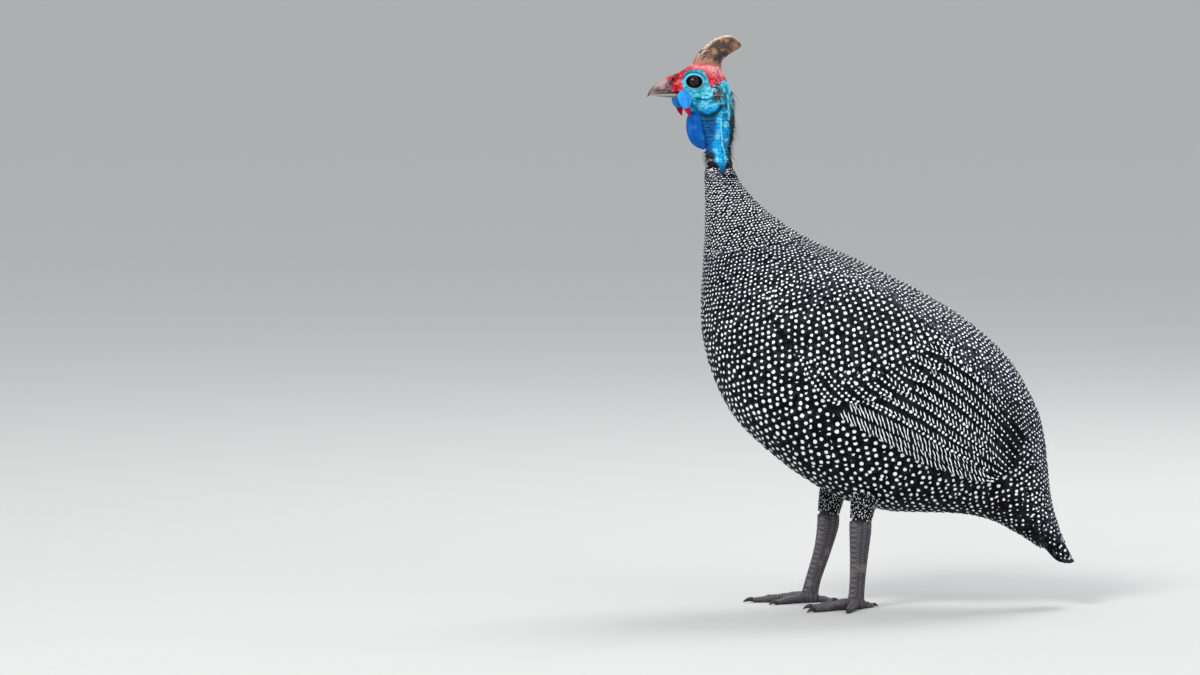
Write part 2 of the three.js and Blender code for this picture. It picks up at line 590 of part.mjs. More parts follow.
// Legs and feet
for (const [name, side] of Object.entries(SIDES)) {
  const leg = LEGS[name];
  const shin = limb(leg.shin, (t) => between(SHIN_RADII, t), 12, 7, 0.85);
  add(`shin_${name}`, shin.subtract(torsoRoom).subtract(box(-100, -80, 0, 100, 80, ANKLE_Z + GAP)), PLUMAGE);

  const tarsusRadii = [TARSUS.top, TARSUS.top, TARSUS.middle, TARSUS.low, TARSUS.low + 1];
  const tarsus = limb(leg.tarsus, (t) => between(tarsusRadii, t), 10, 10, TARSUS.squash);
  add(`tarsus_${name}`, tarsus.subtract(box(-100, -80, -20, 100, 80, FOOT_Z + GAP)).intersect(
    box(-100, -80, 0, 100, 80, ANKLE_Z)), LEG_SCALE);

  const [hubX, hubY] = leg.tarsus[4];
  const pieces = [
    tarsus.intersect(box(-100, -80, 0, 100, 80, FOOT_Z)),
    ellipsoid(hubX, hubY, 5, 8.5, 8, 6.4, 10, 5),
  ];
  const claws = [];
  for (const toe of TOES) {
    const heading = radians(leg.heading - side * toe.turn);
    const ahead = new THREE.Vector3(-Math.cos(heading), -Math.sin(heading), 0);
    const at = (d, z) => [hubX + ahead.x * d, hubY + ahead.y * d, z];
    const rear = toe.name === "rear";
    const high = toe.root - TOE_SINK + (rear ? 3 : 1.5);
    const points = [at(2, high), at(toe.long * 0.45, toe.root - TOE_SINK), at(toe.long, toe.tip - TOE_SINK)];
    const radius = (t) => (toe.root + (toe.tip - toe.root) * t) * (1 + 0.05 * Math.cos(t * Math.PI * 8));
    pieces.push(limb(points, radius, 6, 6));
    const [start, middle, end] = [toe.long - 1.5, toe.long + toe.claw * 0.5, toe.long + toe.claw];
    const spine = [at(start, toe.tip - TOE_SINK), at(middle, CLAW.middle), at(end, CLAW.tip)];
    const claw = limb(spine, (t) => (toe.tip - 0.5) * (1 - t) + 0.4, 5, 3);
    claws.push({ name: `claw_${toe.name}_${name}`, claw, ahead });
  }
  const foot = join(pieces).intersect(box(-150, -120, 0, 100, 120, FOOT_Z));
  add(`foot_${name}`, foot, LEG_SCALE);
  for (const { name: clawName, claw, ahead } of claws) {
    const clear = foot.translate([ahead.x * GAP, ahead.y * GAP, 0]);
    add(clawName, claw.subtract(clear).intersect(box(-150, -120, 0, 100, 120, FOOT_Z)), CLAW_HORN);
  }
}

const guineafowl = new THREE.Group();
guineafowl.name = "helmeted_guineafowl";
for (const piece of parts) guineafowl.add(piece);
guineafowl.updateMatrixWorld(true);

export default guineafowl;
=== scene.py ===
# A helmeted guineafowl, life size, dressed in feathers over the solids of the frame.
# Shapes are worked out in millimetres, +Z up, facing -X, and scaled to metres as meshes are made.
import math
from types import SimpleNamespace

import bpy
import numpy as np
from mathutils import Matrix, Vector


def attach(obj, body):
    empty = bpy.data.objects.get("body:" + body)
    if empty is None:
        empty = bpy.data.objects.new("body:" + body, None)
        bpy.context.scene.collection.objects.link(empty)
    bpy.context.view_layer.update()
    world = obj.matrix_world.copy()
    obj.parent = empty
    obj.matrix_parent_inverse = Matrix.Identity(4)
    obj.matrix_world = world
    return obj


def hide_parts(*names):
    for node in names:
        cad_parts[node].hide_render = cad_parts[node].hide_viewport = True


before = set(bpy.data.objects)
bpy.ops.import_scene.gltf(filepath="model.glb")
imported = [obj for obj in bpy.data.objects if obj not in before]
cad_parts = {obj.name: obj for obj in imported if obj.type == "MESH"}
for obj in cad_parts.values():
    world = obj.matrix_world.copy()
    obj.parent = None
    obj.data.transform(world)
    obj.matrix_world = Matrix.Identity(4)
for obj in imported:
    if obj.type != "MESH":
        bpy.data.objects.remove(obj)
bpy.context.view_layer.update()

MM = 0.001
SIDES = {"left": -1.0, "right": 1.0}
SEED = 29
rng = np.random.default_rng(SEED)


# Curves, noise and colours

def smooth(x, low, high):
    """0 below low and 1 above high, with a soft rise between."""
    t = np.clip((np.asarray(x, float) - low) / (high - low), 0, 1)
    return t * t * (3 - 2 * t)


def fall(x, low, high):
    """1 below low and 0 above high."""
    return smooth(-np.asarray(x, float), -high, -low)


def peak(x, at, width):
    """1 where x is at, and fading to nothing within about two widths."""
    return np.exp(-((x - at) / width) ** 2)


def spline(values, x):
    """Smooth values of a table at row numbers x."""
    values = np.asarray(values, float)
    x = np.clip(np.asarray(x, float), 0, len(values) - 1)
    i = np.minimum(x.astype(int), len(values) - 2)
    t = x - i
    before = values[np.maximum(i - 1, 0)]
    after = values[np.minimum(i + 2, len(values) - 1)]
    here, there = values[i], values[i + 1]
    if values.ndim > 1:
        t = t[..., None]
    a, b = (there - before) / 2, (after - here) / 2
    return ((2 * t**3 - 3 * t**2 + 1) * here + (t**3 - 2 * t**2 + t) * a
            + (3 * t**2 - 2 * t**3) * there + (t**3 - t**2) * b)


def unit(v):
    return v / np.maximum(np.linalg.norm(v, axis=-1, keepdims=True), 1e-9)


def turns(count):
    """Angles in equal steps once round."""
    return np.linspace(0, 2 * np.pi, count, endpoint=False)


def run_along(points):
    """Distance along a line of points at each of them."""
    return np.concatenate([[0], np.cumsum(np.linalg.norm(np.diff(points, axis=0), axis=1))])


def jitter(size, shape):
    return size * rng.standard_normal(shape)


def lattice_noise(p):
    """Noise that runs softly between values fixed for each whole number of the three coordinates."""
    base = np.floor(p).astype(np.int64)
    f = p - base
    f = f * f * (3 - 2 * f)
    out = np.zeros(p.shape[:-1])
    for corner in np.ndindex(2, 2, 2):
        x, y, z = np.moveaxis(base + corner, -1, 0)
        n = x * 73856093 ^ y * 19349663 ^ z * 83492791
        n = (n ^ (n >> 13)) * 1274126177 & 0x7FFFFFFF
        wx, wy, wz = np.moveaxis(np.where(corner, f, 1 - f), -1, 0)
        out += ((n % 65536) / 32767.5 - 1) * wx * wy * wz
    return out


def bumps(points, scale, seed=0.0):
    """Smooth noise between -1 and 1 at points, of features about scale millimetres across."""
    return sum(lattice_noise(points * 2**k / scale + seed + 17.3 * k) / 2**k for k in range(3)) / 1.75


def tint(colour):
    """Red, green and blue light of a text such as "#ff0000". Tints already worked out pass through."""
    if not isinstance(colour, str):
        return colour
    c = np.array([int(colour[i:i + 2], 16) / 255 for i in (1, 3, 5)])
    return np.where(c <= 0.04045, c / 12.92, ((c + 0.055) / 1.055) ** 2.4)


def mix(a, b, share):
    share = np.asarray(share)[..., None]
    return tint(a) * (1 - share) + tint(b) * share


def paint(colour, *layers):
    """A colour under layers, each of them a colour and how much of it shows."""
    for over, share in layers:
        colour = mix(colour, over, share)
    return colour


# Meshes

def add_object(name, data):
    made = bpy.data.objects.new(name, data)
    bpy.context.scene.collection.objects.link(made)
    return made


def mesh_object(name, points, faces, material, colour=None, patch=None):
    """An object from points in millimetres and faces that all have the same number of corners."""
    points = np.asarray(points, float).reshape(-1, 3) * MM
    faces = np.asarray(faces, np.int32)
    mesh = bpy.data.meshes.new(name)
    mesh.vertices.add(len(points))
    mesh.vertices.foreach_set("co", points.ravel())
    mesh.loops.add(faces.size)
    mesh.loops.foreach_set("vertex_index", faces.ravel())
    mesh.polygons.add(len(faces))
    mesh.polygons.foreach_set("loop_start", np.arange(0, faces.size, faces.shape[1], dtype=np.int32))
    mesh.polygons.foreach_set("use_smooth", np.ones(len(faces), bool))
    mesh.update(calc_edges=True)
    if colour is not None:
        layer = mesh.color_attributes.new("tint", "FLOAT_COLOR", "POINT")
        rgba = np.ones((len(points), 4), np.float32)
        rgba[:, :3] = colour.reshape(-1, 3)
        layer.data.foreach_set("color", rgba.ravel())
    if patch is not None:
        layer = mesh.uv_layers.new(name="OFBake")
        layer.data.foreach_set("uv", np.asarray(patch, np.float32).reshape(-1, 2)[faces.ravel()].ravel())
    mesh.materials.append(material)
    made = add_object(name, mesh)
    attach(made, "root")
    return made


def grid_faces(rows, columns, wrap=True, start=0):
    i, j = np.meshgrid(np.arange(rows - 1), np.arange(columns if wrap else columns - 1), indexing="ij")
    k = (j + 1) % columns
    quads = [i * columns + j, (i + 1) * columns + j, (i + 1) * columns + k, i * columns + k]
    return np.stack(quads, -1).reshape(-1, 4) + start


def gather(*grids):
    """Joins (points grid, tint grid) pairs of closed tubes into one set of points, quads and tints."""
    points, faces, tints, start = [], [], [], 0
    for p, colour in grids:
        rows, columns = p.shape[:2]
        points.append(p.reshape(-1, 3))
        tints.append(np.broadcast_to(colour, p.shape).reshape(-1, 3))
        faces.append(grid_faces(rows, columns, start=start))
        for ring in (0, rows - 1):
            j = np.arange(1, columns // 2)
            a, b = ring * columns, (ring + 1) * columns - 1
            cap = np.stack([a + j - 1, a + j, b - j, b - j + 1], -1) + start
            faces.append(cap if ring else cap[:, ::-1])
        start += rows * columns
    return np.concatenate(points), np.concatenate(faces), np.concatenate(tints)


def tube(spine, radii, up, around=24):
    """Rings round a spine (rows, 3). radii is (rows, 2): along up and across it."""
    ahead = unit(np.gradient(spine, axis=0))
    across = unit(np.cross(ahead, up))
    high = unit(np.cross(across, ahead))
    angle = turns(around)
    return (spine[:, None] + high[:, None] * (radii[:, 0:1] * np.cos(angle))[..., None]
            + across[:, None] * (radii[:, 1:2] * np.sin(angle))[..., None])


def tubes_object(name, material, slot, *grids):
    """An object of closed tubes, each a grid of points and its colours."""
    points, faces, tints = gather(*grids)
    return mesh_object(name, points, faces, material, tints)


# Materials

def material(name, roughness, bump, scale, spread=0.0, specular=0.5, colour=None):
    """A material with fine noise in relief, coloured by the tint of the mesh unless colour is given."""
    made = bpy.data.materials.new(name)
    made.use_nodes = True
    nodes, links = made.node_tree.nodes, made.node_tree.links
    shader = nodes["Principled BSDF"]
    shader.inputs["Roughness"].default_value = roughness
    shader.inputs["Specular IOR Level"].default_value = specular
    where = nodes.new("ShaderNodeTexCoord")
    grain = nodes.new("ShaderNodeTexNoise")
    grain.inputs["Scale"].default_value = scale
    grain.inputs["Detail"].default_value = 4.0
    links.new(where.outputs["Object"], grain.inputs["Vector"])
    if colour is None:
        tints = nodes.new("ShaderNodeAttribute")
        tints.attribute_name = "tint"
        vary = nodes.new("ShaderNodeMapRange")
        vary.inputs["To Min"].default_value = 1 - spread
        vary.inputs["To Max"].default_value = 1 + spread
        links.new(grain.outputs["Fac"], vary.inputs["Value"])
        scaled = nodes.new("ShaderNodeVectorMath")
        scaled.operation = "SCALE"
        links.new(tints.outputs["Color"], scaled.inputs[0])
        links.new(vary.outputs["Result"], scaled.inputs["Scale"])
        links.new(scaled.outputs["Vector"], shader.inputs["Base Color"])
    else:
        shader.inputs["Base Color"].default_value = (*tint(colour), 1)
    relief = nodes.new("ShaderNodeBump")
    relief.inputs["Strength"].default_value = bump
    relief.inputs["Distance"].default_value = 0.0004
    links.new(grain.outputs["Fac"], relief.inputs["Height"])
    links.new(relief.outputs["Normal"], shader.inputs["Normal"])
    return made


skin_material = material("bare skin", 0.48, bump=0.9, scale=1300, spread=0.22, specular=0.1)
leg_material = material("scaly leg", 0.62, bump=0.5, scale=700, spread=0.25)
horn_material = material("horn", 0.6, bump=0.6, scale=500, spread=0.2)
bill_material = material("bill", 0.42, bump=0.25, scale=400, spread=0.12)
claw_material = material("claw", 0.4, bump=0.3, scale=500, spread=0.2)
eye_material = material("eye", 0.06, bump=0.01, scale=500, spread=0.2, specular=0.28)
coat_material = material("feathers", 0.6, bump=0.6, scale=1400, spread=0.5, specular=0.06)
dot_material = material("pale spots", 0.8, bump=0.4, scale=1200, colour="#eef1f6")
bristle_material = material("bristles", 0.5, bump=0.2, scale=800, colour="#0b0b0d")
pale_bristle_material = material("pale bristles", 0.8, bump=0.2, scale=800, colour="#a3a0ac")

RED, PINK, ROSE = "#bb1a30", "#d9767c", "#ecaeb2"
CYAN, PALE, DEEP = "#0a97d8", "#72d4f0", "#084583"
TEAL, COBALT, SKY = "#04505f", "#0452a6", "#2a92e4"
TURQUOISE, DARK_RED = "#2aa0b6", "#4c0a15"
# Black of the skin, also laid as painted shade in the nostrils, ear openings, the mouth groove and under the
# jowl.
BLACK_SKIN_AND_SHADE, TIP_RED = "#07090c", "#a30d22"
SLATE, SCUTE, ROSY = "#26242a", "#625d66", "#75635f"


# The body, from stations and angles

# Sections from the top of the feathered neck to the tips of the tail. Each is an ellipse seen edge on:
# lowest point x, z, highest point x, z, half width.
BODY = np.array([
    (-134.6, 387.6, -110.8, 387.6, 10.4), (-135, 372, -104, 371, 13.4), (-134.4, 350, -89, 353, 19.5),
    (-134.8, 325, -67.5, 335, 31), (-136.4, 297, -39.5, 318.5, 46), (-138, 266, -9.5, 306, 62),
    (-136.8, 236, 22, 291, 73.5), (-128.6, 204, 54, 274.4, 80.5), (-111.5, 168, 84, 256.6, 82),
    (-86, 141, 110, 236.6, 78.5), (-52, 114, 131.5, 214.5, 71.5), (-14, 92.5, 146.5, 190, 61.5),
    (24, 83, 156, 169.5, 51.5), (58, 81.5, 161.6, 147, 42), (86, 80.5, 164.4, 122, 33),
    (112, 75.5, 167, 98, 27), (134, 65, 171.5, 79, 23), (156, 51, 177.5, 61, 21), (172, 41, 184.5, 47, 19),
    (181, 36, 188, 39, 17),
])
TURN_FROM_Z, TURN_TO_Z, TURN_AXIS_X, HEAD_TURN = 350.0, 402.0, -121.0, math.radians(17)
BLUE_POINT_ANGLE = 88


def turned(p):
    """Points turned with the head and neck about an upright line."""
    angle = HEAD_TURN * smooth(p[..., 2], TURN_FROM_Z, TURN_TO_Z)
    x, y = p[..., 0] - TURN_AXIS_X, p[..., 1]
    c, s = np.cos(angle), np.sin(angle)
    return np.stack([TURN_AXIS_X + x * c - y * s, x * s + y * c, p[..., 2]], -1)


def body(station, angle, grow=0.0):
    """Points of the body. angle runs from 0 at the back to pi below, and is negative on the left."""
    row = spline(BODY, station)
    under, over = row[..., 0:2], row[..., 2:4]
    axis = over - under
    length = np.linalg.norm(axis, axis=-1)
    centre = (under + over) / 2
    reach = (length / 2 + grow) * np.cos(angle) / length
    side = (row[..., 4] + grow) * np.sin(angle)
    x = centre[..., 0] + axis[..., 0] * reach
    z = centre[..., 1] + axis[..., 1] * reach
    return turned(np.stack([x, side, z], -1))


def body_normal(station, angle):
    e = 0.03
    along = body(station + e, angle) - body(station - e, angle)
    around = body(station, angle + e) - body(station, angle - e)
    return unit(np.cross(along, around))


def from_back(angle):
    """Degrees round the body from the middle of the back, alike on both sides."""
    return np.abs((np.degrees(angle) + 180) % 360 - 180)


# Head and bare neck as level slices: z, front, back, half width
HEAD = np.array([
    (474.6, -139, -129, 1.2), (474, -142.5, -126, 4), (470, -149.6, -121.8, 7.5), (465.5, -157, -119.3, 10),
    (461.5, -165.5, -117, 11.4), (457, -169, -114.6, 12.2), (452, -170, -112.6, 12.8),
    (447, -168, -110.6, 13), (442, -161, -109.8, 12.8), (436, -153, -109.6, 12), (430, -147, -109.3, 10.8),
    (422, -141.5, -109.2, 9.6), (412, -137.5, -110, 8.8), (402, -134.6, -112.2, 8.3),
    (394, -133.6, -113, 8.6), (387.6, -134, -111.4, 9.8),
])
EYE = dict(x=-147.4, y=7.1, z=457.0, radius=5.9, across=7.3, high=5.8)
EAR = (-128.6, 446.4)
NOSTRIL = dict(x=-166.8, z=457.2, slant=math.radians(46), half_length=4.3, half_width=1.7)
MOUTH_Z = 448
JOWL = [(-146.6, 438.4), (-141, 432), (-135.4, 429), (-129.4, 432), (-125.4, 437)]
CHEEK = [(-146.5, 443.8), (-140, 442.6), (-133.5, 443.2)]
THROAT_LOBE = [(-139.5, 0, 433), (-143.6, 0, 426), (-143.2, 0, 414), (-139, 0, 404.5), (-134.8, 0, 398.4)]
NECK_RIDGES = [[(-123, 424), (-121.6, 404), (-118.4, 390)], [(-116.8, 444), (-115.2, 424)]]
# The lower edge of the red skin in side view, from the gape over the eye to the nape
RED_EDGE = np.array([
    (-175, 447.6), (-157.2, 447.8), (-156.6, 459), (-155.2, 464.4), (-151.6, 466.6), (-145.2, 467.8),
    (-139.6, 466.8), (-135.8, 461), (-133.6, 453.4), (-132.4, 450), (-130.8, 453.2), (-126.6, 455.4),
    (-118.4, 458), (-105, 459),
])


def head_slice(z, angle):
    """Points of the smooth head before its details. angle is 0 at the back, as on the body."""
    z, angle = np.broadcast_arrays(np.asarray(z, float), angle)
    row = np.interp(z, HEAD[::-1, 0], np.arange(len(HEAD))[::-1])
    front, back, wide = (spline(HEAD[:, k], row) for k in (1, 2, 3))
    u = np.cos(angle)
    taper = 1 - 0.3 * (1 - u) / 2
    return np.stack([(front + back) / 2 + (back - front) / 2 * u, wide * np.sin(angle) * taper, z], -1)


def fold(points, line, width):
    """1 on a line of x, z points and fading within width of it, and the distance from it, positive above."""
    fine = spline(np.asarray(line, float), np.linspace(0, len(line) - 1, 60))
    best = np.full(points.shape[:-1], 1e9)
    above = np.zeros(points.shape[:-1])
    for x, z in fine:
        d = np.hypot(points[..., 0] - x, points[..., 2] - z)
        closer = d < best
        best = np.where(closer, d, best)
        above = np.where(closer, points[..., 2] - z, above)
    return peak(best, 0, width), np.sign(above) * best


def nostril(p):
    """Distance from the middle of the slanting nostril, as a share of its half size."""
    c, s = math.cos(NOSTRIL["slant"]), math.sin(NOSTRIL["slant"])
    dx, dz = p[..., 0] - NOSTRIL["x"], p[..., 2] - NOSTRIL["z"]
    return np.hypot((dx * c + dz * s) / NOSTRIL["half_length"], (dz * c - dx * s) / NOSTRIL["half_width"])


def head_marks(p):
    """Where the parts of the face lie, as distances and shares for each point of the smooth head."""
    x, y, z = p[..., 0], p[..., 1], p[..., 2]
    m = SimpleNamespace(x=x, y=y, z=z, flank=smooth(np.abs(y), 3.0, 7.0), slit=nostril(p))
    m.lids = np.hypot((x - EYE["x"]) / EYE["across"], (z - EYE["z"]) / EYE["high"])
    m.jowl, m.under_jowl = fold(p, JOWL, 1.7)
    m.cheek, m.under_cheek = fold(p, CHEEK, 0.8)
    m.ear = np.hypot(x - EAR[0], (z - EAR[1]) / 1.35)
    m.mouth = peak(z, MOUTH_Z, 0.55) * smooth(-x, 153.5, 156)
    m.red = smooth(z - np.interp(x, RED_EDGE[:, 0], RED_EDGE[:, 1]), -0.5, 0.6) * (z > 440)
    m.red = m.red * smooth(m.lids, 1.36, 1.5)
    m.grain, m.fine = bumps(p, 2.2, 3.0), bumps(p, 0.9, 9.0)
    # Wrinkle lines: sunk as grooves in the relief, and darkened as painted shade in the colours.
    m.crease = peak(bumps(p * [1, 1, 1.25], 3.4, 81), 0, 0.09) * (1 - m.red * 0.3) * smooth(z, 420, 434)
    return m


def head_relief(p, m):
    """The head's points, moved out and in for lids, folds, ear, nostrils, mouth and wrinkles."""
    out = (1.6 * peak(m.lids, 0.93, 0.2) + 0.7 * peak(m.lids, 1.5, 0.16) - 0.5 * peak(m.lids, 1.24, 0.08)
           - 7.0 * fall(m.lids, 0.66, 0.8)) * m.flank
    out += (1.8 * m.jowl - 1.6 * peak(m.under_jowl, -3.0, 1.3) * smooth(m.x, -147, -143)) * m.flank
    out += (0.6 * m.cheek - 0.7 * peak(m.under_cheek, -1.5, 0.6) * smooth(m.x, -147, -145)
            * smooth(-m.x, 133, 135)) * m.flank
    for line in NECK_RIDGES:
        out += 0.8 * fold(p, line, 0.9)[0] * m.flank
    out += (0.9 * peak(m.ear, 3.1, 0.8) - 2.4 * fall(m.ear, 1.4, 2.8)) * m.flank
    cere = np.hypot((m.x + 162.5) / 7.5, (m.z - 456.0) / 5.5)
    out += 1.3 * fall(cere, 0.3, 1.0) * smooth(np.abs(m.y), 1.5, 4)
    out += (1.1 * peak(m.slit, 1.4, 0.28) - 2.6 * fall(m.slit, 0.5, 1.1)) * smooth(np.abs(m.y), 1.5, 3)
    out -= 1.1 * m.mouth
    out += 0.14 * m.grain + m.red * (0.35 * np.abs(m.grain) + 0.18 * m.fine) * smooth(m.z, 446, 452)
    out += 0.22 * np.sin(m.z * 2.2 + 2.5 * bumps(p, 5, 5)) * fall(m.z, 430, 440) + 0.2 * np.abs(m.fine)
    out -= 0.42 * m.crease * smooth(m.lids, 1.2, 1.5)
    outward = unit(np.stack([(m.x + 132) * 0.25, m.y, np.zeros_like(m.x)], -1))
    made = p + outward * out[..., None]
    # Nothing reaches further forward than the root of the bill
    made[..., 0] = np.maximum(made[..., 0], np.where(m.z > MOUTH_Z, -168.8, -158.8))
    return made


def head_colours(p, m):
    x, z = m.x, m.z
    blotch, mottle = bumps(p, 4.5, 31), bumps(p, 1.8, 37)
    front = -x - 3.5 * fall(z, 398, 414)
    beside = smooth(np.abs(m.y) / (np.abs(m.y) + np.abs(x + 121.5) + 0.1), 0.42, 0.56)
    colour = paint(
        mix(CYAN, TURQUOISE, smooth(z, 430, 446)),
        (DEEP, smooth(mottle + 0.5 * blotch, 0.1, 0.6) * 0.45 * fall(z, 436, 446)),
        (TEAL, smooth(blotch - 0.4 * mottle, 0.05, 0.5) * 0.6 * smooth(z, 432, 440)),
        (PALE, smooth(mottle - blotch, 0.05, 0.5) * 0.9),
        (PALE, smooth(x, -118, -112) * smooth(z, 418, 440) * 0.8),
        # Painted shade: the blue skin darkened along its wrinkle grooves.
        (TEAL, m.crease * 0.38),
        (DEEP, smooth(front + 1.5 * mottle, 124, 129) * fall(z, 427, 434) * 0.9),
        (BLACK_SKIN_AND_SHADE, smooth(front + 3 * mottle, 126, 132) * fall(z, 424, 432)
         * smooth(bumps(p, 1.3, 51), 0.0, 0.4) * 0.8),
        (BLACK_SKIN_AND_SHADE, smooth(x + 2.5 * mottle, -115.5, -113.5) * fall(z, 424, 440) * 0.75),
        # Painted shade: teal, broken black and deep blue bands in the grooves under the jowl and cheek folds.
        (TEAL, peak(m.under_jowl, -3.6, 2.6) * m.flank * 0.95),
        (BLACK_SKIN_AND_SHADE, peak(m.under_jowl, -3.4, 0.9) * m.flank * smooth(bumps(p, 1.6, 71), -0.3, 0.3) * 0.8),
        (DEEP, peak(m.under_cheek, -1.6, 0.8) * smooth(x, -148, -145) * smooth(-x, 132, 135) * 0.8))
    for line in NECK_RIDGES:
        colour = mix(colour, PALE, fold(p, line, 0.8)[0] * 0.9)
    colour = paint(
        colour,
        (RED, m.red),
        (ROSE, m.red * smooth(z + 0.35 * (x + 140) + 2 * blotch, 463, 471) * 0.7),
        # Painted highlights: paler pink on the red skin where the grain noise raises its bumps.
        (PINK, m.red * np.clip(m.grain * 1.4, 0, 0.45)),
        # Painted shade: darker red in the red skin's dips and along its wrinkle grooves.
        (DARK_RED, m.red * np.maximum(smooth(-m.fine - 0.7 * m.grain, 0.2, 0.6) * 0.7, m.crease * 0.5)),
        (DARK_RED, peak(m.slit, 1.75, 0.3) * 0.7 * m.red),
        # Painted shade: the nostril's dent is filled with black for the dark of its opening.
        (BLACK_SKIN_AND_SHADE, fall(m.slit, 0.75, 1.15)),
        (PALE, peak(m.lids, 1.12, 0.14) * 0.7),
        (BLACK_SKIN_AND_SHADE, fall(m.lids, 0.92, 1.02)),
        (BLACK_SKIN_AND_SHADE, peak(m.lids, 1.4, 0.06) * smooth(z, 457, 460) * 0.85),
        (DEEP, peak(m.lids, 1.27, 0.07) * 0.5 * m.flank),
        # Painted shade: black in the dent of the ear opening.
        (BLACK_SKIN_AND_SHADE, fall(m.ear, 1.6, 2.9) * 0.9),
        ("#0d0f14", smooth(-z + 0.8 * bumps(p, 3, 21), -396, -391) * (1 - beside)),
        # Painted shade: a dark line in the mouth groove where the bill meets the face.
        (BLACK_SKIN_AND_SHADE, m.mouth * 0.7))
    return colour * (1 + 0.26 * m.grain[..., None])


# Skin: one surface from the crown down the neck and over the body, with wattles and throat lobe

def build_skin():
    angle = turns(256)[None, :]
    z = np.concatenate([np.linspace(474.5, 437, 155), np.linspace(436.7, 388, 105)])
    plain = head_slice(z[:, None], angle)
    marks = head_marks(plain)
    head = turned(head_relief(plain, marks))
    station = np.linspace(0.12, 17.6, 80)
    off = np.abs(from_back(angle) - BLUE_POINT_ANGLE)
    bare = smooth(26 * (1 - station[:, None] / 0.8) - off, -3, 4)
    coat_depth = 3.6 * smooth(station, 0.0, 1.2)[:, None] * (1 - bare) + 0.2
    trunk = body(station[:, None], angle, -coat_depth)
    trunk += body_normal(station[:, None], angle) * 0.4 * bumps(trunk, 9)[..., None]
    point = mix(CYAN, "#12507e", smooth(station, 0.0, 0.75)[:, None])
    point = mix(point * 0.8, DEEP, smooth(bumps(trunk, 1.8, 37), 0.0, 0.5) * 0.6)
    trunk_colour = mix("#0c0d11", point, bare)
    surface = np.concatenate([head, trunk]), np.concatenate([head_colours(plain, marks), trunk_colour])
    wattles = [wattle(side) for side in SIDES.values()]
    made = tubes_object("skin", skin_material, "skin_blue", surface, *wattles, throat_lobe())
    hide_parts("head", "neck_bare", "neck_feathered", "torso", "throat_lobe", "ear_left", "ear_right",
                "wattle_left", "wattle_right")


def wattle(side):
    t = np.linspace(0, 1, 60)
    arch = np.sin(np.pi * t)
    spine = np.stack([-156.5 + 4.4 * t - 1.2 * arch, side * (7.2 + 5.0 * t + 0.8 * arch),
                      449.3 - 22.4 * t], -1)
    wide = spline([3.4, 6.2, 6.0, 5.2, 3.2, 2.0, 0.5], t * 6)
    thick = spline([1.8, 1.7, 1.5, 1.4, 1.3, 1.1, 0.4], t * 6)
    p = tube(spine, np.stack([wide, thick], -1), (-1.0, 0, 0), 40)
    wave = 0.5 * np.sin(p[..., 0] * 1.1 + 2) + 0.35 * bumps(p, 4, 2)
    p[..., 1] += side * wave * smooth(t, 0.1, 0.4)[:, None]
    tip = smooth(t[:, None] + 0.03 * bumps(p, 4, 8), 0.62, 0.68)
    return turned(p), paint(SKY, (COBALT, 0.35 * smooth(bumps(p, 5, 4), -0.3, 0.6)), (TIP_RED, tip))


def throat_lobe():
    t = np.linspace(0, 1, 80)
    spine = spline(THROAT_LOBE, t * 4)
    wide = spline([2.0, 6.6, 7.8, 6.2, 1.2], t * 4)
    p = tube(spine, np.stack([wide, wide * 0.82], -1), (-1.0, 0, 0), 72)
    angle = turns(72)
    pleat = np.sin(angle * 9 + 1.5 * np.sin(t[:, None] * 4)) * 0.35 + 0.3 * bumps(p, 5, 6)
    p += unit(p - spine[:, None]) * pleat[..., None]
    front = smooth(-np.cos(angle), 0.55, 0.95)
    # Lighter patches follow noise; the pleats' hollows are darkened as painted shade.
    return turned(p), paint(COBALT, ("#1a78c8", smooth(bumps(p, 3.0, 61), -0.1, 0.5) * 0.7),
                            (DEEP, smooth(-pleat, 0, 0.6) * 0.7), (BLACK_SKIN_AND_SHADE, front * 0.7))


# Bill, casque and eyes

# Sections of each half of the bill from its root to its tip: x, top, bottom, half width
UPPER_BILL = np.array([
    (-166.4, 462, 447.8, 6.4), (-168.6, 461.2, 448.3, 6.1), (-172, 460, 448.4, 5.6),
    (-177, 457.4, 448.2, 4.6), (-181.5, 453.6, 447.4, 3.4), (-185, 449.2, 445.6, 2.0),
    (-187, 444.8, 443.6, 0.7),
])
LOWER_BILL = np.array([
    (-156.6, 447.8, 443.2, 6.4), (-162, 447.8, 443, 6), (-168, 448, 443.2, 5.2), (-174, 448, 443.8, 4.2),
    (-179.5, 447.4, 444.4, 3), (-183, 446, 444.8, 1.2),
])
# Sections of the casque from its foot to its tip: rear point x, z, front point x, z, half width
CASQUE = np.array([
    (-121, 464, -148.5, 467.5, 6.6), (-119.9, 470, -145, 474.6, 6.1), (-119.5, 474.5, -140.4, 481.5, 5.4),
    (-114.7, 478.6, -131.9, 489.6, 5.0), (-109, 482, -122, 494.9, 4.5), (-104.4, 484.4, -112.1, 496.1, 3.8),
    (-101.9, 486.6, -104.8, 491.6, 2.2), (-102, 488, -102.6, 489.4, 0.7),
])


def bill_half(sections, rows, seed):
    """Points of the upper or lower bill, faintly grooved along, and how far along each row is."""
    t = np.linspace(0, len(sections) - 1, rows)
    x, top, bottom, wide = spline(sections, t).T
    angle = turns(48)
    squared = np.sign(np.cos(angle)) * np.abs(np.cos(angle)) ** 0.85
    p = np.stack([x[:, None] + 0 * angle, wide[:, None] * np.sin(angle),
                  (top + bottom)[:, None] / 2 + (top - bottom)[:, None] / 2 * squared], -1)
    p += unit(p - p.mean(1, keepdims=True)) * (0.12 * bumps(p * [0.4, 1, 1], 1.6, seed))[..., None]
    return p, t / (len(sections) - 1)


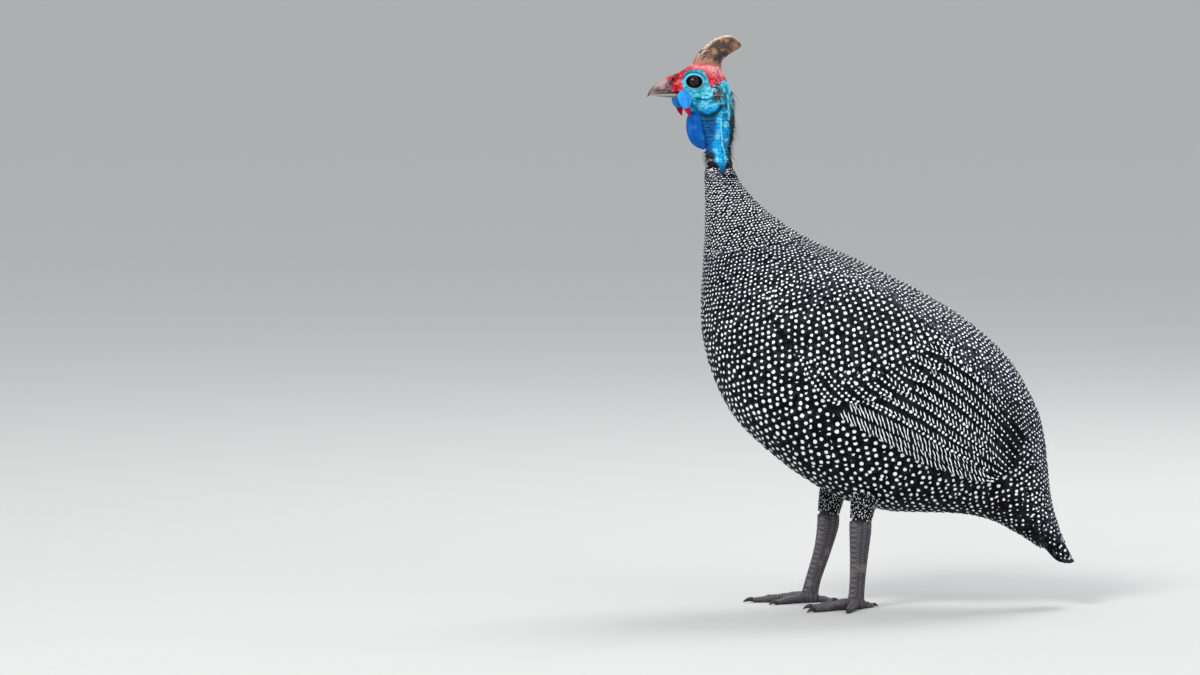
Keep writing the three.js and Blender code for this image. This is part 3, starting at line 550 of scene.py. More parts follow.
def build_bill():
    upper, t = bill_half(UPPER_BILL, 70, 3)
    x, z, slit = upper[..., 0], upper[..., 2], nostril(upper)
    colour = paint(
        "#93797b",
        ("#5c4238", fall(z, 450.5, 455) * 0.85),
        ("#b9a09c", smooth(bumps(upper, 3.5, 15), 0.0, 0.5) * 0.5),
        ("#241e20", smooth(t[:, None] + 0.02 * bumps(upper, 3), 0.8, 0.97)),
        (RED, smooth(x - 0.42 * (461 - z) + 0.4 * bumps(upper, 2, 7), -171.6, -170.6)
         * smooth(z, 449.5, 451)),
        (DARK_RED, peak(slit, 1.5, 0.35) * 0.8),
        # Painted shade: the nostril is filled with black for the dark of its opening.
        (BLACK_SKIN_AND_SHADE, fall(slit, 0.75, 1.15)))
    made = tubes_object("bill_upper_horn", bill_material, "bill_horn", (turned(upper), colour))
    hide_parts("bill_upper")
    lower, t = bill_half(LOWER_BILL, 60, 9)
    colour = paint(
        "#4a3d3b",
        ("#b5a596", peak(lower[..., 2], 445.2, 1.0) * 0.8),
        ("#8a1f2b", smooth(lower[..., 0], -164, -161) * 0.9))
    made = tubes_object("bill_lower_horn", bill_material, "bill_dark", (turned(lower), colour))
    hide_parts("bill_lower")


def build_casque():
    t = np.linspace(0, len(CASQUE) - 1, 200)
    row = spline(CASQUE, t)
    angle = turns(120)
    c = np.cos(angle)
    centre, axis = (row[:, 0:2] + row[:, 2:4]) / 2, (row[:, 2:4] - row[:, 0:2]) / 2
    p = np.stack([centre[:, None, 0] + axis[:, None, 0] * c, row[:, 4:5] * np.sin(angle),
                  centre[:, None, 1] + axis[:, None, 1] * c], -1)
    stretched = p @ np.array([[0.5, 0, -0.35], [0, 1, 0], [0.35, 0, 1]])
    coarse, fine = bumps(stretched, 4.5, 4), bumps(stretched, 1.5, 8)
    flaky = bumps(stretched * [1.6, 1.6, 0.8], 0.9, 19)
    low = 1 - smooth(t, 2.0, 4.6)[:, None]
    relief = 0.3 * coarse + (0.25 * fine + 0.2 * flaky) * (0.4 + low)
    p += unit(p - p.mean(1, keepdims=True)) * relief[..., None]
    t = t[:, None]
    share = t / (len(CASQUE) - 1)
    flakes = smooth(np.abs(fine) + 0.5 * coarse + 0.35 * flaky, 0.16, 0.3)
    colour = paint(
        "#94694e",
        ("#412c27", smooth(coarse + 0.3 * fine, -0.25, 0.3) * smooth(share, 0.1, 0.35)),
        ("#e6c9a8", smooth(c, 0.7, 0.97) * smooth(share, 0.12, 0.4) * 0.9),
        ("#b98566", smooth(share, 0.8, 0.95) * 0.7),
        ("#1a110f", flakes * (0.3 + 0.7 * low) * smooth(t, 0.7, 1.3) * 0.9),
        ("#bd4f55", 1 - smooth(t + 0.5 * coarse + 0.35 * fine, 0.55, 1.05)))
    made = tubes_object("casque_horn", horn_material, "casque_horn", (turned(p), colour))
    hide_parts("casque")


def build_eyes():
    turn = turns(64)
    tilt = np.linspace(0.02, np.pi - 0.02, 48)[:, None]
    radius = EYE["radius"] + 0.35 * peak(tilt, 0, 0.5)
    iris = smooth(tilt, 0.5, 0.56) * fall(tilt, 0.98, 1.1)
    colour = mix("#040303", "#1d0f0a", iris)
    for name, side in SIDES.items():
        p = np.stack([EYE["x"] + radius * np.sin(tilt) * np.cos(turn),
                      side * (EYE["y"] + radius * np.cos(tilt)) + 0 * turn,
                      EYE["z"] + radius * np.sin(tilt) * np.sin(turn)], -1)
        points, faces, tints = gather((turned(p), colour))
        if side < 0:
            faces = faces[:, ::-1]
        made = mesh_object(f"eyeball_{name}", points, faces, eye_material, tints)
        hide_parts(f"eye_{name}")


# Legs: shins, scaled tarsi, and toes with their claws

LEGS = {
    "left": dict(shin=[(9, -24, 118), (4, -25, 96), (0.6, -25.5, 76)], heading=42,
                 tarsus=[(0.6, -25.5, 76), (0.4, -25.6, 66), (-1, -26, 40), (-2.4, -26.4, 18),
                         (-3.4, -26.6, 5)]),
    "right": dict(shin=[(-15, 30, 120), (-22, 31, 98), (-26, 31.5, 77)], heading=2,
                  tarsus=[(-26, 31.5, 77), (-26.4, 31.6, 67), (-31, 32, 46), (-39, 32.8, 20),
                          (-42.4, 33, 5)]),
}
# Each toe: degrees turned out, length, radius at its root and at its tip, length of its claw
TOES = {"inner": (-37, 38, 4.6, 2.5, 8), "middle": (0, 49, 4.8, 2.6, 9), "outer": (37, 40, 4.6, 2.5, 8),
        "rear": (180, 20, 3.8, 2.2, 6.5)}
LOWEST = 0.02
FORWARD = (-1, 0, 0)


def scales(p, along, angle, pitch, front):
    """Relief and colour of a leg: broad overlapping plates in front and small scales elsewhere."""
    plate = (along / pitch) % 1.0
    broad = 0.55 * plate ** 1.6 - 0.5 * peak(plate, 1.0, 0.07)
    column = angle * 11 / (2 * np.pi)
    cell = np.hypot(column % 1 - 0.5, (along / (pitch * 0.55) + 0.5 * np.floor(column)) % 1 - 0.5)
    small = 0.35 * fall(cell, 0.25, 0.55) - 0.15
    relief = np.where(front, broad, small) * 0.75 + 0.1 * bumps(p, 1.6, 5)
    rosy = smooth(bumps(p, 9, 12), 0.15, 0.5) * 0.55
    return relief, paint(SLATE, (SCUTE, smooth(relief, -0.1, 0.4)), (ROSY, rosy))


def limb(spine_points, radii, squash, rows, around, pitch, up):
    """A scaled tube through points: its grid, and its colours."""
    t = np.linspace(0, 1, rows)
    spine = spline(spine_points, t * (len(spine_points) - 1))
    radius = spline(radii, t * (len(radii) - 1))
    p = tube(spine, np.stack([radius, radius * squash], -1), up, around)
    angle = turns(around)[None, :]
    relief, colour = scales(p, run_along(spine)[:, None], angle, pitch, np.cos(angle) > 0.35)
    return p + unit(p - spine[:, None]) * relief[..., None], colour


def instep(hub):
    """The scaled knob that the toes spring from: its grid, and its colours."""
    middle = np.array([hub[0], hub[1], 5.2])
    tilt, turn = np.broadcast_arrays(np.linspace(0.05, np.pi - 0.05, 24)[:, None], turns(40))
    out = np.stack([np.sin(tilt) * np.cos(turn), np.sin(tilt) * np.sin(turn), np.cos(tilt)], -1)
    p = middle + out * [8.6, 8, 6.4]
    relief, colour = scales(p, tilt * 7, turn, 3.6, False)
    return p + unit(p - middle) * relief[..., None], colour


def toe(hub, heading, lift, length, root, tip, claw):
    """A toe with its pads, and its claw: the grid and the colours of each."""
    ahead = np.array([-math.cos(heading), -math.sin(heading), 0])

    def at(distance, height):
        return hub * [1, 1, 0] + ahead * distance + [0, 0, height]
    spine = [at(0, root + lift - 0.6), at(length * 0.3, root - 0.2),
             at(length * 0.66, (root + tip) / 2 - 0.5), at(length, tip - 0.7)]
    pads = [root, root * 0.92, root * 0.98, (root + tip) * 0.46, (root + tip) * 0.5, tip * 1.02, tip * 0.9]
    t = np.linspace(0, 3, 26)
    nail_spine = spline([at(length - 2.5, tip - 0.3), at(length + claw * 0.35, tip + 0.3),
                         at(length + claw * 0.75, 1.7), at(length + claw, 0.5)], t)
    size = spline([tip * 0.78, tip * 0.72, tip * 0.42, 0.25], t)
    nail = tube(nail_spine, np.stack([size, size * 0.8], -1), (0, 0, 1), 20)
    nail_colour = mix("#15110f", "#4d4139", smooth(bumps(nail, 2.5, 3), 0, 0.6) * 0.6)
    return limb(spine, pads, 0.92, 90, 28, 2.9, (0, 0, 1)), (nail, nail_colour)


def build_legs():
    for name, side in SIDES.items():
        leg = LEGS[name]
        hub = np.array(leg["tarsus"][-1], float)
        tarsus = limb(leg["tarsus"], [9.4, 9.3, 7.4, 6.6, 7.4], 0.66, 170, 48, 4.4, FORWARD)
        shin_end = tuple(np.add(leg["shin"][-1], (-0.4, 0, -4)))
        shin = limb(leg["shin"] + [shin_end], [13, 10, 7.6, 7.6], 0.85, 40, 32, 3, FORWARD)[0]
        toes = []
        for turn_out, *sizes in TOES.values():
            heading = math.radians(leg["heading"] - side * turn_out)
            toes.append(toe(hub, heading, 3.0 if turn_out == 180 else 1.5, *sizes))
        foot = [instep(hub)] + [pads for pads, claw in toes]
        claws = [claw for pads, claw in toes]
        for p, colour in foot + claws:
            p[..., 2] = np.maximum(p[..., 2], LOWEST)
        made = tubes_object(f"leg_{name}", leg_material, "leg_scale", tarsus, (shin, tint("#101014")), *foot)
        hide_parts(f"tarsus_{name}", f"foot_{name}", f"shin_{name}")
        made = tubes_object(f"claws_{name}", claw_material, "claw_horn", *claws)
        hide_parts(*(f"claw_{toe_name}_{name}" for toe_name in TOES))


# Feathers: each vane runs over the body from a root s0, a0 to a tip s1, a1, as station and angle

LAST_STATION = 18.5
# Staggered rows lie closer together than the feathers in each
ROW_STEP = 0.87
# Half the width of a vane's place on the map OFBake
PATCH = 0.0014


def vane_set(camber=0.5, tilt=0.0, bend=0.0, **columns):
    """A table with a row of sizes for each vane."""
    columns.update(camber=camber, tilt=tilt, bend=bend)
    return np.rec.fromarrays(np.broadcast_arrays(*columns.values()), names=list(columns))


def vane_frame(f, u, v):
    """Points and outward normals on vanes, at u from -1 to 1 across each of them and v from 0 to 1 along."""
    f = f.reshape(-1, *([1] * (v.ndim - 1)))
    long, swing = f.s1 - f.s0, f.a1 - f.a0
    station = f.s0 + long * v
    angle = f.a0 + swing * v + f.bend * v * (1 - v)
    e = 0.02
    ds, da = long * e, (swing + f.bend * (1 - 2 * v)) * e
    normal = body_normal(station, angle)
    ahead = unit(body(station + ds, angle + da) - body(station - ds, angle - da))
    across = unit(np.cross(ahead, normal))
    rounded = np.sqrt(np.clip(1.02 - np.clip((v - 0.72) / 0.28, 0, 1) ** 2, 0.0, 1))
    half = f.width / 2 * np.minimum(1, 0.5 + 1.1 * v) * rounded
    height = f.l0 + (f.l1 - f.l0) * v ** 0.8 - f.camber * u ** 2 + f.tilt * u
    return body(station, angle) + across * (half * u)[..., None] + normal * height[..., None], normal


def homes(f):
    """Where each vane's root lies on the map that follows the skin: round the body, and along it."""
    return np.stack([(f.a0 / (2 * np.pi)) % 1.0 * 0.97 + 0.01, f.s0 / LAST_STATION * 0.97 + 0.01], -1)


def vane_mesh(name, f, across=4, along=6, shade=1.0):
    """The vanes of a set as one mesh, each with its own small patch of the map that follows the skin."""
    u, v = np.array(np.meshgrid(np.linspace(-1, 1, across + 1), np.linspace(0, 1, along + 1)))[:, None]
    points, normal = vane_frame(f, u, v)
    ripple = 0.03 * np.sin(v * 40 + 9 * np.abs(u)) * (np.abs(u) > 0.1)
    points = points + normal * ripple[..., None]
    first = np.arange(len(f)) * u.size
    faces = first[:, None, None] + grid_faces(along + 1, across + 1, wrap=False)
    mottle = np.abs(bumps(points, 2.6, 4))
    speckle = smooth(mottle, -0.22, 0.02) * fall(mottle, 0.02, 0.2)
    tone = paint("#060608", ("#4a4c5a", speckle * f.grey.reshape(-1, 1, 1)),
                 ("#0e0c0f", peak(u, 0, 0.12) * 0.6))
    patch = homes(f)[:, None, None] + np.stack([u, 2 * v - 1], -1) * PATCH
    return mesh_object(name, points, faces.reshape(-1, 4), coat_material, tone * shade, patch)


def dots(name, f, which, u, v, rx, ry, lean, slot="wing_plumage"):
    """Pale low domes: on vane which, at u and v, of half sizes rx across and ry along, turned by lean."""
    corners = 10
    f = f[which]
    centre = vane_frame(f, u, v)[0]
    across = unit(vane_frame(f, u + 0.05, v)[0] - vane_frame(f, u - 0.05, v)[0])
    ahead = unit(vane_frame(f, u, v + 0.01)[0] - vane_frame(f, u, v - 0.01)[0])
    normal = unit(np.cross(across, ahead))
    c, s = np.cos(lean)[:, None], np.sin(lean)[:, None]
    first, second = across * c + ahead * s, -across * s + ahead * c
    angle = turns(corners)

    def ring(share, height):
        out = (first[:, None] * (rx[:, None] * share * np.cos(angle))[..., None]
               + second[:, None] * (ry[:, None] * share * np.sin(angle))[..., None])
        return centre[:, None] + out + normal[:, None] * height
    uneven = 1 + jitter(0.08, (len(u), corners))
    points = np.concatenate([ring(uneven, 0.06), ring(0.6, 0.17), centre[:, None] + normal[:, None] * 0.2], 1)
    j = np.arange(corners)
    k = (j + 1) % corners
    triangles = np.concatenate([
        np.stack([j, k, corners + k], -1), np.stack([j, corners + k, corners + j], -1),
        np.stack([corners + j, corners + k, np.full(corners, 2 * corners)], -1)])
    faces = (np.arange(len(u)) * (2 * corners + 1))[:, None, None] + triangles
    rim = np.stack([np.cos(angle), np.sin(angle)], -1) * PATCH
    patch = homes(f)[:, None] + np.concatenate([rim, rim * 0.6, [(0, 0)]])
    mesh_object(name, points, faces.reshape(-1, 3), dot_material, None, patch)


def along_scale(station, angle):
    """Millimetres along the body for each whole station."""
    return np.linalg.norm(body(station + 0.05, angle) - body(station - 0.05, angle), axis=-1) / 0.1


def lattice(s_from, s_to, low, high, spacing, skip=None):
    """Staggered rows of feather roots between two angles: station, angle, and the distance to the next."""
    roots, station, odd = [], s_from, False
    while station < s_to:
        gap = float(spacing(station))
        angle = np.linspace(low, high, 400)
        run = run_along(body(station, angle))
        count = max(round(run[-1] / gap), 1)
        places = (np.arange(count) + (0.25 if odd else 0.75)) / count * run[-1]
        row = np.interp(places, run, angle)
        roots += [(station, a, gap) for a in row if not (skip and skip(station, a))]
        station += ROW_STEP * gap / along_scale(station, (low + high) / 2)
        odd = not odd
    return np.array(roots)


def by_station(station, value):
    """A number for each root: value itself, or worked out from a pair of lists, stations and values."""
    return np.interp(station, *value) if isinstance(value, tuple) else np.full(len(station), value)


def coat_band(name, roots, lift, dot, grey, shade, bar=1.0, along=6, warmth=1.0):
    """A piece of the coat: one feather at each root, with a pale spot near its tip."""
    s, a, d = roots.T
    n = len(s)
    shade, grey, bar, dot = (by_station(s, value) for value in (shade, grey, bar, dot))
    length, width = 2.5 * d, 1.75 * d
    size = 1 + jitter(0.07, n)
    swing = jitter(0.04, n) * length / np.maximum(spline(BODY[:, 4], s), 8)
    s1 = np.minimum(s + length * size / along_scale(s, a), LAST_STATION + 0.1)
    f = vane_set(s0=s, a0=a, s1=s1, a1=a + swing, width=width * size,
                 l0=lift[0] + jitter(0.12, n) + 0.9 * over_wing(s, a),
                 l1=lift[1] + jitter(0.14, n) + 1.15 * over_wing(s1, a + swing),
                 camber=0.05 * d, tilt=jitter(0.07, n), grey=grey)
    tone = (shade * (1 + jitter(0.18, n)))[:, None, None, None]
    vane_mesh(f"coat_{name}", f, 4, along, tone * warmth)
    radius = dot * d * (1 + jitter(0.1, n))
    dots(f"spots_{name}", f, np.arange(n), jitter(0.06, n), 0.76 + jitter(0.02, n),
         radius * bar, radius / bar * 0.92, jitter(0.25, n), "plumage")
    # The topmost feathers have three more small bars each
    top = np.repeat(np.flatnonzero(s < 0.6), 3)
    if len(top):
        v = np.tile([0.1, 0.32, 0.54], len(top) // 3) + jitter(0.03, len(top))
        small = (dot * d)[top]
        dots(f"spots_{name}_top", f, top, jitter(0.2, len(top)), v, small * 1.3, small * 0.6, 0 * v,
             "plumage")


def wing_lift(station, degrees):
    """How far the folded wing stands out from the body."""
    middle, half = 71.0, 36.0
    edge = np.sqrt(np.clip(1 - ((degrees - middle) / half) ** 2, 0, 1))
    return 4.4 * edge * smooth(station, 5.0, 6.4)


def over_wing(station, angle):
    """How much the feathers round the front and top of the folded wing are raised to lie over its edge."""
    degrees = from_back(angle)
    rim = np.maximum(1 - smooth(degrees, 46, 58), 1 - smooth(station, 5.9, 6.9))
    return wing_lift(station, degrees) * rim * fall(station, 11.4, 12.6)


def covered(station, angle):
    """Whether the folded wing hides a root there."""
    lowest = np.interp(station, [6, 9, 10.5, 11.8, 13], [88, 98, 93, 80, 66])
    return 5.9 < station < 11.9 and 47 < from_back(angle) < lowest


def blue_point(station, angle):
    """Whether a root lies on the bare blue skin that runs down each side of the neck to a point."""
    return abs(from_back(angle) - BLUE_POINT_ANGLE) < 23 * (1 - station / 0.74)


def build_coat():
    knots = [3.4, 5, 7, 9, 13, 16.8]

    def gaps(*values):
        return lambda station: np.interp(station, knots, values)
    upper, lower, round_below = (math.radians(degrees) for degrees in (46, 78, 282))
    neck = lattice(0.02, 3.5, -math.pi, math.pi, lambda station: 2.35 + 0.3 * station, blue_point)
    back = lattice(3.45, 16.9, -upper, upper, gaps(3.4, 4.1, 4.7, 4.9, 4.5, 4.3))
    flanks = [lattice(3.45, 16.9, *sorted((side * upper, side * lower)), gaps(3.4, 4.7, 6.0, 6.5, 5.4, 4.6),
                      covered) for side in SIDES.values()]
    under = lattice(3.45, 16.7, lower, round_below, gaps(3.4, 4.8, 6.8, 8.0, 7.8, 5.2), covered)
    coat_band("neck", neck, (-2.4, -0.2), dot=([0, 1.2, 3.5], [0.24, 0.27, 0.25]), along=4,
              grey=([0, 1.5], [0.95, 0.55]), shade=([0, 1, 3.5], [1.9, 1.2, 1.3]),
              bar=([1, 3.5], [1.55, 1.05]))
    coat_band("back", back, (-3.3, -0.3), dot=0.23, grey=0.8, shade=1.4, warmth=np.array([1.08, 0.98, 1.06]))
    coat_band("upper_sides", np.concatenate(flanks), (-3.3, -0.2), dot=0.24,
              grey=([3, 6, 9], [0.8, 0.5, 0.4]), shade=([3, 6], [1.35, 1.1]))
    coat_band("under", under, (-3.4, -0.2), dot=([8, 12.5], [0.25, 0.205]),
              grey=([3, 6, 9], [0.8, 0.4, 0.2]), shade=([3, 6], [1.35, 1.0]))


# Wings and tail

def wing_vanes(side, count, roots, tips, lift, bend=(0, 0)):
    """Long wing feathers from the upper to the lower, each lying over the next one down.

    roots and tips are the stations and degrees of the first and the last feather."""
    t = np.linspace(0, 1, count)
    (s0, a0), (s1, a1) = roots
    (s2, a2), (s3, a3) = tips
    uneven = rng.standard_normal(count)
    root = a0 + (a1 - a0) * t
    tip = np.interp(t, [0, 0.45, 1], [a2, a2 + (a3 - a2) * 0.56, a3]) + 0.15 * uneven
    end = np.interp(t, [0, 0.45, 1], [s2, (s2 + s3) / 2 + 0.4, s3]) + 0.03 * uneven
    curve = np.interp(t, [0, 0.5, 1], [bend[0], bend[0], bend[1]]) * (tip - root)
    f = dict(s0=s0 + (s1 - s0) * t, a0=side * np.radians(root), s1=end, a1=side * np.radians(tip),
             bend=side * np.radians(curve))
    v = 0.4
    middle = body(f["s0"] + (f["s1"] - f["s0"]) * v,
                  f["a0"] + (f["a1"] - f["a0"]) * v + f["bend"] * v * (1 - v))
    pitch = np.linalg.norm(np.gradient(middle, axis=0), axis=-1)
    return vane_set(**f, width=1.95 * pitch, l0=lift[0], l1=lift[1] + np.linspace(0.3, 0, count), camber=0.3,
                    tilt=-side * 1.0, grey=0.25)


def wing_spots(name, f, side, striped_from, with_third):
    """Rows of round spots and rows of slanting bars down the long feathers.

    Feathers whose tips lie below striped_from degrees have long stripes instead, and the first
    with_third feathers a third row. A row is a place across, a spacing and how bar-like its spots are."""
    fine_v = np.linspace(0.06, 0.985, 80)
    spots = []
    for i in range(len(f)):
        low = float(abs(np.degrees(f.a1[i])) > striped_from)
        rows = [(0.24, 4.2, 1.0), (0.76, 4.2, 1.0)] if low else [(0.86, 4.3, 0.0), (0.46, 4.3, 1.0)]
        if i < with_third:
            rows += [(0.06, 4.3, 0.5)]
        if i == 0:
            rows += [(-0.36, 4.3, 0.5), (-0.76, 4.3, 0.5)]
        for down, gap, bar in rows:
            run = run_along(vane_frame(f[[i]], -side * down, fine_v[None])[0][0])
            count = int(run[-1] / gap)
            at = (np.arange(count) + 0.5 + jitter(0.08, count)) / count * run[-1]
            spots += [(i, down, v, bar, low) for v in np.interp(at, run, fine_v) if v < 0.975]
    i, down, v, bar, low = np.array(spots).T
    i = i.astype(int)
    x = vane_frame(f[i], -side * down, v)[0][:, 0]
    striped = smooth(x, -30, -14) * fall(x, 98, 122)
    barred = smooth(x, 8, 36) * fall(x, 108, 132)
    streak = np.floor(bar) * np.where(low > 0, striped, barred)
    keep = (bar > 0) | (x < 104 + 16 * (i < 4) + jitter(8, len(x)))
    round_size = 1.14 - 0.38 * smooth(x, 84, 128)
    rx = round_size * (1 - streak) + 0.45 * streak
    ry = round_size * (1 - streak) + np.where(low > 0, 3.5, 2.5) * streak
    size = 1 + jitter(0.09, len(i))
    columns = (i, -side * down + jitter(0.02, len(i)), v, rx * size, ry * size,
               side * 0.8 * streak + jitter(0.08, len(i)))
    dots(name, f, *(column[keep] for column in columns))


def lesser_coverts(name, side):
    roots = lattice(4.9, 8.2, *sorted((side * math.radians(43), side * math.radians(103))),
                    lambda station: np.interp(station, [4.9, 6, 8.2], [5.3, 6.0, 6.6]))
    s, a, d = roots.T
    n = len(s)
    lift = wing_lift(s, np.abs(np.degrees(a)))
    f = vane_set(s0=s, a0=a, s1=s + 2.5 * d / along_scale(s, a), a1=a + jitter(0.01, n), width=1.75 * d,
                 l0=lift - 2.9, l1=lift + 1.2 * smooth(s, 4.9, 6.5) + jitter(0.2, n), camber=0.4, grey=0.35)
    vane_mesh(f"coat_lesser_{name}", f)
    size = 0.23 * d * (1 + jitter(0.1, n))
    dots(f"spots_lesser_{name}", f, np.arange(n), jitter(0.08, n), 0.76 + jitter(0.02, n), size, size, 0 * d)


def build_wings():
    for name, side in SIDES.items():
        flight = wing_vanes(side, 10, [(7.5, 57), (8.7, 108)], [(12.4, 43), (13.2, 84)], (1.0, 2.6),
                            bend=(2.0, 0.4))
        greater = wing_vanes(side, 8, [(6.6, 58), (6.9, 99)], [(9.0, 46), (8.8, 102)], (1.4, 4.2))
        shell = vane_mesh(f"coat_flight_{name}", flight, 8, 30)
        vane_mesh(f"coat_coverts_{name}", greater, 8, 26)
        wing_spots(f"spots_flight_{name}", flight, side, striped_from=78, with_third=1)
        wing_spots(f"spots_coverts_{name}", greater, side, striped_from=200, with_third=4)
        lesser_coverts(name, side)
        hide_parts(f"wing_{name}")


def tail_spots(f):
    """Three rows of round spots down each tail feather."""
    gap, radius, start = 5.2, 1.2, 0.4
    spots = []
    for u in (-0.6, 0.0, 0.6):
        for i in range(len(f)):
            length = np.linalg.norm(body(f.s1[i], f.a1[i]) - body(f.s0[i], f.a0[i]))
            end = 0.95 - 0.12 * abs(u) - 0.04 * rng.random()
            count = int((end - start) * length / gap)
            v = start + (np.arange(count) + 0.5 + jitter(0.12, count)) / count * (end - start)
            spots += [(i, u, place) for place in v]
    i, u, v = np.array(spots).T
    size = radius * (1 + jitter(0.15, len(i)))
    dots("spots_tail", f, i.astype(int), u + jitter(0.05, len(i)), v, size, size * 0.85, 0 * u)


def build_tail():
    angle = np.radians(np.linspace(-104, 104, 14))
    f = vane_set(s0=14.8, a0=angle, s1=18.9 - 0.3 * np.abs(angle) + jitter(0.08, 14), a1=angle * 0.92,
                 width=15.5, l0=-4.5, l1=-0.6 - 1.4 * np.abs(angle), camber=0.9, tilt=0.5 * np.sign(angle),
                 grey=0.8)
    made = vane_mesh("coat_tail", f, 8, 22)
    tail_spots(f)
    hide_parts("tail")


# Bristles and fine feathers

def strands(name, at, ahead, out, length, width, made_of, sink=0.0, bend=0.25, along=5, colour=None):
    """Thin tapering strips: each rooted under its point, and bent on its way ahead."""
    root = turned(at - out * sink)
    ahead, normal = (unit(turned(at + way) - turned(at)) for way in (ahead, out))
    t = np.linspace(0, 1, along + 1)
    across = unit(np.cross(ahead, normal))[:, None]
    spine = (root[:, None] + ahead[:, None] * (length[:, None] * t)[..., None]
             - normal[:, None] * (bend * length[:, None] * (t - 1) * t)[..., None])
    half = (width[:, None] / 2 * (1 - t) ** 0.6 + 0.02)[..., None]
    points = np.stack([spine - across * half, spine + normal[:, None] * half / 2, spine + across * half], 2)
    faces = (np.arange(len(root)) * (along + 1) * 3)[:, None, None] + grid_faces(along + 1, 3, wrap=False)
    home = np.stack([np.arctan2(root[:, 1], root[:, 0] + 120) / (2 * np.pi) * 0.95 + 0.5,
                     root[:, 2] / 500 * 0.97 + 0.01], -1)
    place = np.stack(np.meshgrid(np.array([-0.001, 0, 0.001]), (2 * t - 1) * PATCH), -1)
    if colour is not None:
        colour = np.broadcast_to(colour, points.shape)
    mesh_object(name, points, faces.reshape(-1, 4), made_of, colour, home[:, None, None] + place)


def nape_hairs():
    """Black hair feathers down the back of the neck."""
    n = 900
    z = 450 - 62 * rng.random(n) ** 0.8
    angle = jitter(0.8, n) * (0.6 + 0.4 * (446 - z) / 58)
    at = head_slice(z, angle)
    out = unit((at - [-124, 0, 0]) * [1, 1, 0])
    ahead = unit(out * 0.4 + [0, 0, -1] + jitter(0.22, (n, 3)))
    length = 2.5 + 4.5 * rng.random(n) + 9 * (rng.random(n) > 0.97)
    strands("neck_filoplumes", at, ahead, out, length, 0.5 + 0.45 * rng.random(n), bristle_material, sink=0.3)


def collar():
    """The upper edge of the neck feathers, with a pale tuft in front. The blue points are left bare."""
    for shade, count, low, size, made_of in (("dark", 300, 387.5, 2.2, bristle_material),
                                             ("pale", 620, 381.0, 1.8, pale_bristle_material)):
        angle = rng.random(count) * 2 * np.pi
        angle = angle[np.abs(from_back(angle) - BLUE_POINT_ANGLE) > 22]
        n = len(angle)
        at = head_slice(low + 7.5 * rng.random(n) + 2.0 * np.cos(angle + np.pi), angle)
        out = unit((at - [-122, 0, 0]) * [1, 1, 0])
        tuft = smooth(-np.cos(angle), 0.8, 0.98) * (rng.random(n) < 0.5)
        ahead = unit([0, 0, -1] + out * (0.15 + 1.3 * tuft)[:, None] + jitter(0.15, (n, 3)))
        length = size * (1 + 1.1 * tuft)
        strands(f"collar_{shade}", at, ahead, out, length, 0.7 + 0.4 * rng.random(n), made_of)


def ear_bristles(name, side):
    """Dark bristles in the ear, with a few pale ones."""
    for shade, count, made_of in (("dark", 90, bristle_material), ("pale", 30, pale_bristle_material)):
        z = EAR[1] + jitter(3.4, count)
        x = EAR[0] + jitter(1.9, count)
        front, back = (np.interp(z, HEAD[::-1, 0], HEAD[::-1, k]) for k in (1, 2))
        angle = np.arccos(np.clip((x - (front + back) / 2) / ((back - front) / 2), -0.98, 0.98)) * side
        at = head_slice(z, angle)
        out = np.array([0.15, side, 0])
        ahead = unit(np.stack([0.7 + 0.4 * rng.random(count), side * (0.28 + 0.2 * rng.random(count)),
                               jitter(0.55, count) - 0.25], -1))
        strands(f"ear_bristles_{shade}_{name}", at, ahead, out, 3 + 2 * rng.random(count),
                0.55 + 0.3 * rng.random(count), made_of, sink=0.2)


def shin_feathers(name):
    """Fine speckled feathers in rows down and round the shin."""
    leg, rows, around = LEGS[name]["shin"], 15, 26
    n = rows * around
    t = np.repeat(np.linspace(0.1, 0.74, rows), around) * 2
    turn = np.tile(turns(around), rows) + np.repeat(np.arange(rows) % 2, around) * 0.12
    further = np.minimum(t + 0.1, 2)
    axis = unit(spline(leg, further) - spline(leg, further - 0.1))
    fore = unit(np.cross((0, 1, 0), axis))
    out = unit(fore * np.cos(turn)[:, None] + np.cross(axis, fore) * np.sin(turn)[:, None] * 0.85)
    radius = spline([13.5, 11.0, 8.6], t) - 1.2
    root = spline(leg, t) + out * radius[:, None] * [1, 0.9, 1]
    ahead = unit(axis + out * 0.1)
    tone = np.clip(tint("#121216") * (1 + jitter(0.3, (n, 1, 1, 1))), 0.002, 1)
    strands(f"coat_shin_{name}", root, ahead, out, np.full(n, 8.5), np.full(n, 3.6), coat_material,
            bend=0.1, along=4, colour=tone)
    speckles = np.concatenate([root + ahead * reach + out * 0.55 + jitter(0.5, (n, 3)) for reach in (4, 6.6)])
    strands(f"spots_shin_{name}", speckles, np.tile(ahead, (2, 1)), np.tile(out, (2, 1)),
            0.7 + 0.8 * rng.random(2 * n), 0.55 + 0.3 * rng.random(2 * n), dot_material, bend=0.0, along=3)


def build_fine_feathers():
    nape_hairs()
    collar()
    for name, side in SIDES.items():
        ear_bristles(name, side)
        shin_feathers(name)


# Floor, light and camera

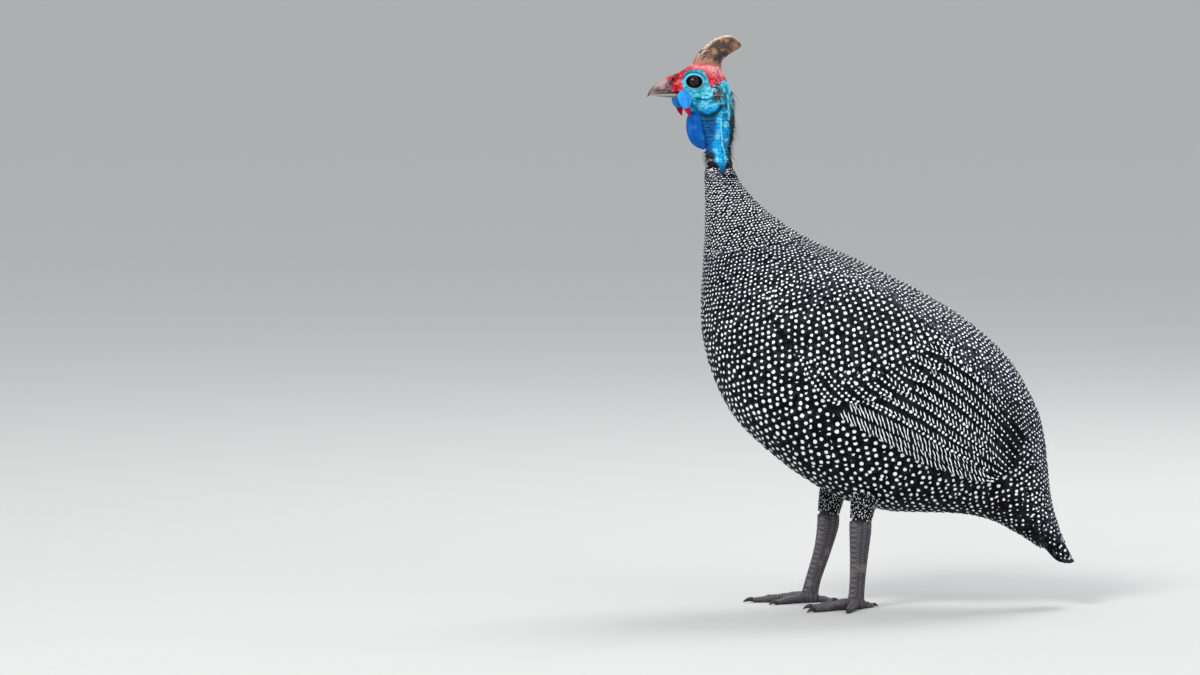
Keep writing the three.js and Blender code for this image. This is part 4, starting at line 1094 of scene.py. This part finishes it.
def build_floor():
    reach = 30
    mesh = bpy.data.meshes.new("floor")
    corners = [(-reach, -reach, 0), (reach, -reach, 0), (reach, reach, 0), (-reach, reach, 0)]
    mesh.from_pydata(corners, [], [(0, 1, 2, 3)])
    plain = bpy.data.materials.new("pale floor")
    plain.use_nodes = True
    shader = plain.node_tree.nodes["Principled BSDF"]
    shader.inputs["Base Color"].default_value = (0.5, 0.51, 0.5, 1)
    shader.inputs["Roughness"].default_value = 0.9
    mesh.materials.append(plain)
    add_object("floor", mesh)


def facing(place, aim):
    """The rotation that turns a lamp or camera at place to aim."""
    return (Vector(aim) - Vector(place)).to_track_quat("-Z", "Y").to_euler()


def lamp(name, place, size, watts, colour=(1, 1, 1)):
    """A square lamp that shines on the middle of the bird."""
    light = bpy.data.lights.new(name, "AREA")
    light.size, light.energy, light.color = size, watts, colour
    made = add_object(name, light)
    made.location = place
    made.rotation_euler = facing(place, (0, 0, 0.25))


def build_lights():
    lamp("key", (-1.5, -2.4, 2.7), 1.1, 96, (1.0, 0.98, 0.95))
    lamp("fill", (2.2, -2.2, 1.2), 2.2, 18, (0.93, 0.96, 1.0))
    lamp("rim", (0.8, 1.4, 2.2), 1.2, 36)
    world = bpy.data.worlds.new("studio")
    world.use_nodes = True
    background = world.node_tree.nodes["Background"]
    background.inputs["Color"].default_value = (0.95, 0.97, 1.0, 1)
    background.inputs["Strength"].default_value = 0.8
    bpy.context.scene.world = world


def build_camera():
    aim, distance, rise = Vector((-0.2251, 0, 0.2340)), 8.70, math.radians(4)
    lens = bpy.data.cameras.new("camera")
    lens.lens, lens.sensor_width, lens.clip_end = 300.7, 36, 80
    camera = add_object("camera", lens)
    camera.location = aim + Vector((0, -math.cos(rise), math.sin(rise))) * distance
    camera.rotation_euler = facing(camera.location, aim)
    bpy.context.scene.camera = camera
    bpy.context.scene.view_settings.view_transform = "Standard"


build_skin()
build_bill()
build_casque()
build_eyes()
build_legs()
build_coat()
build_wings()
build_tail()
build_fine_feathers()
build_floor()
build_lights()
build_camera()
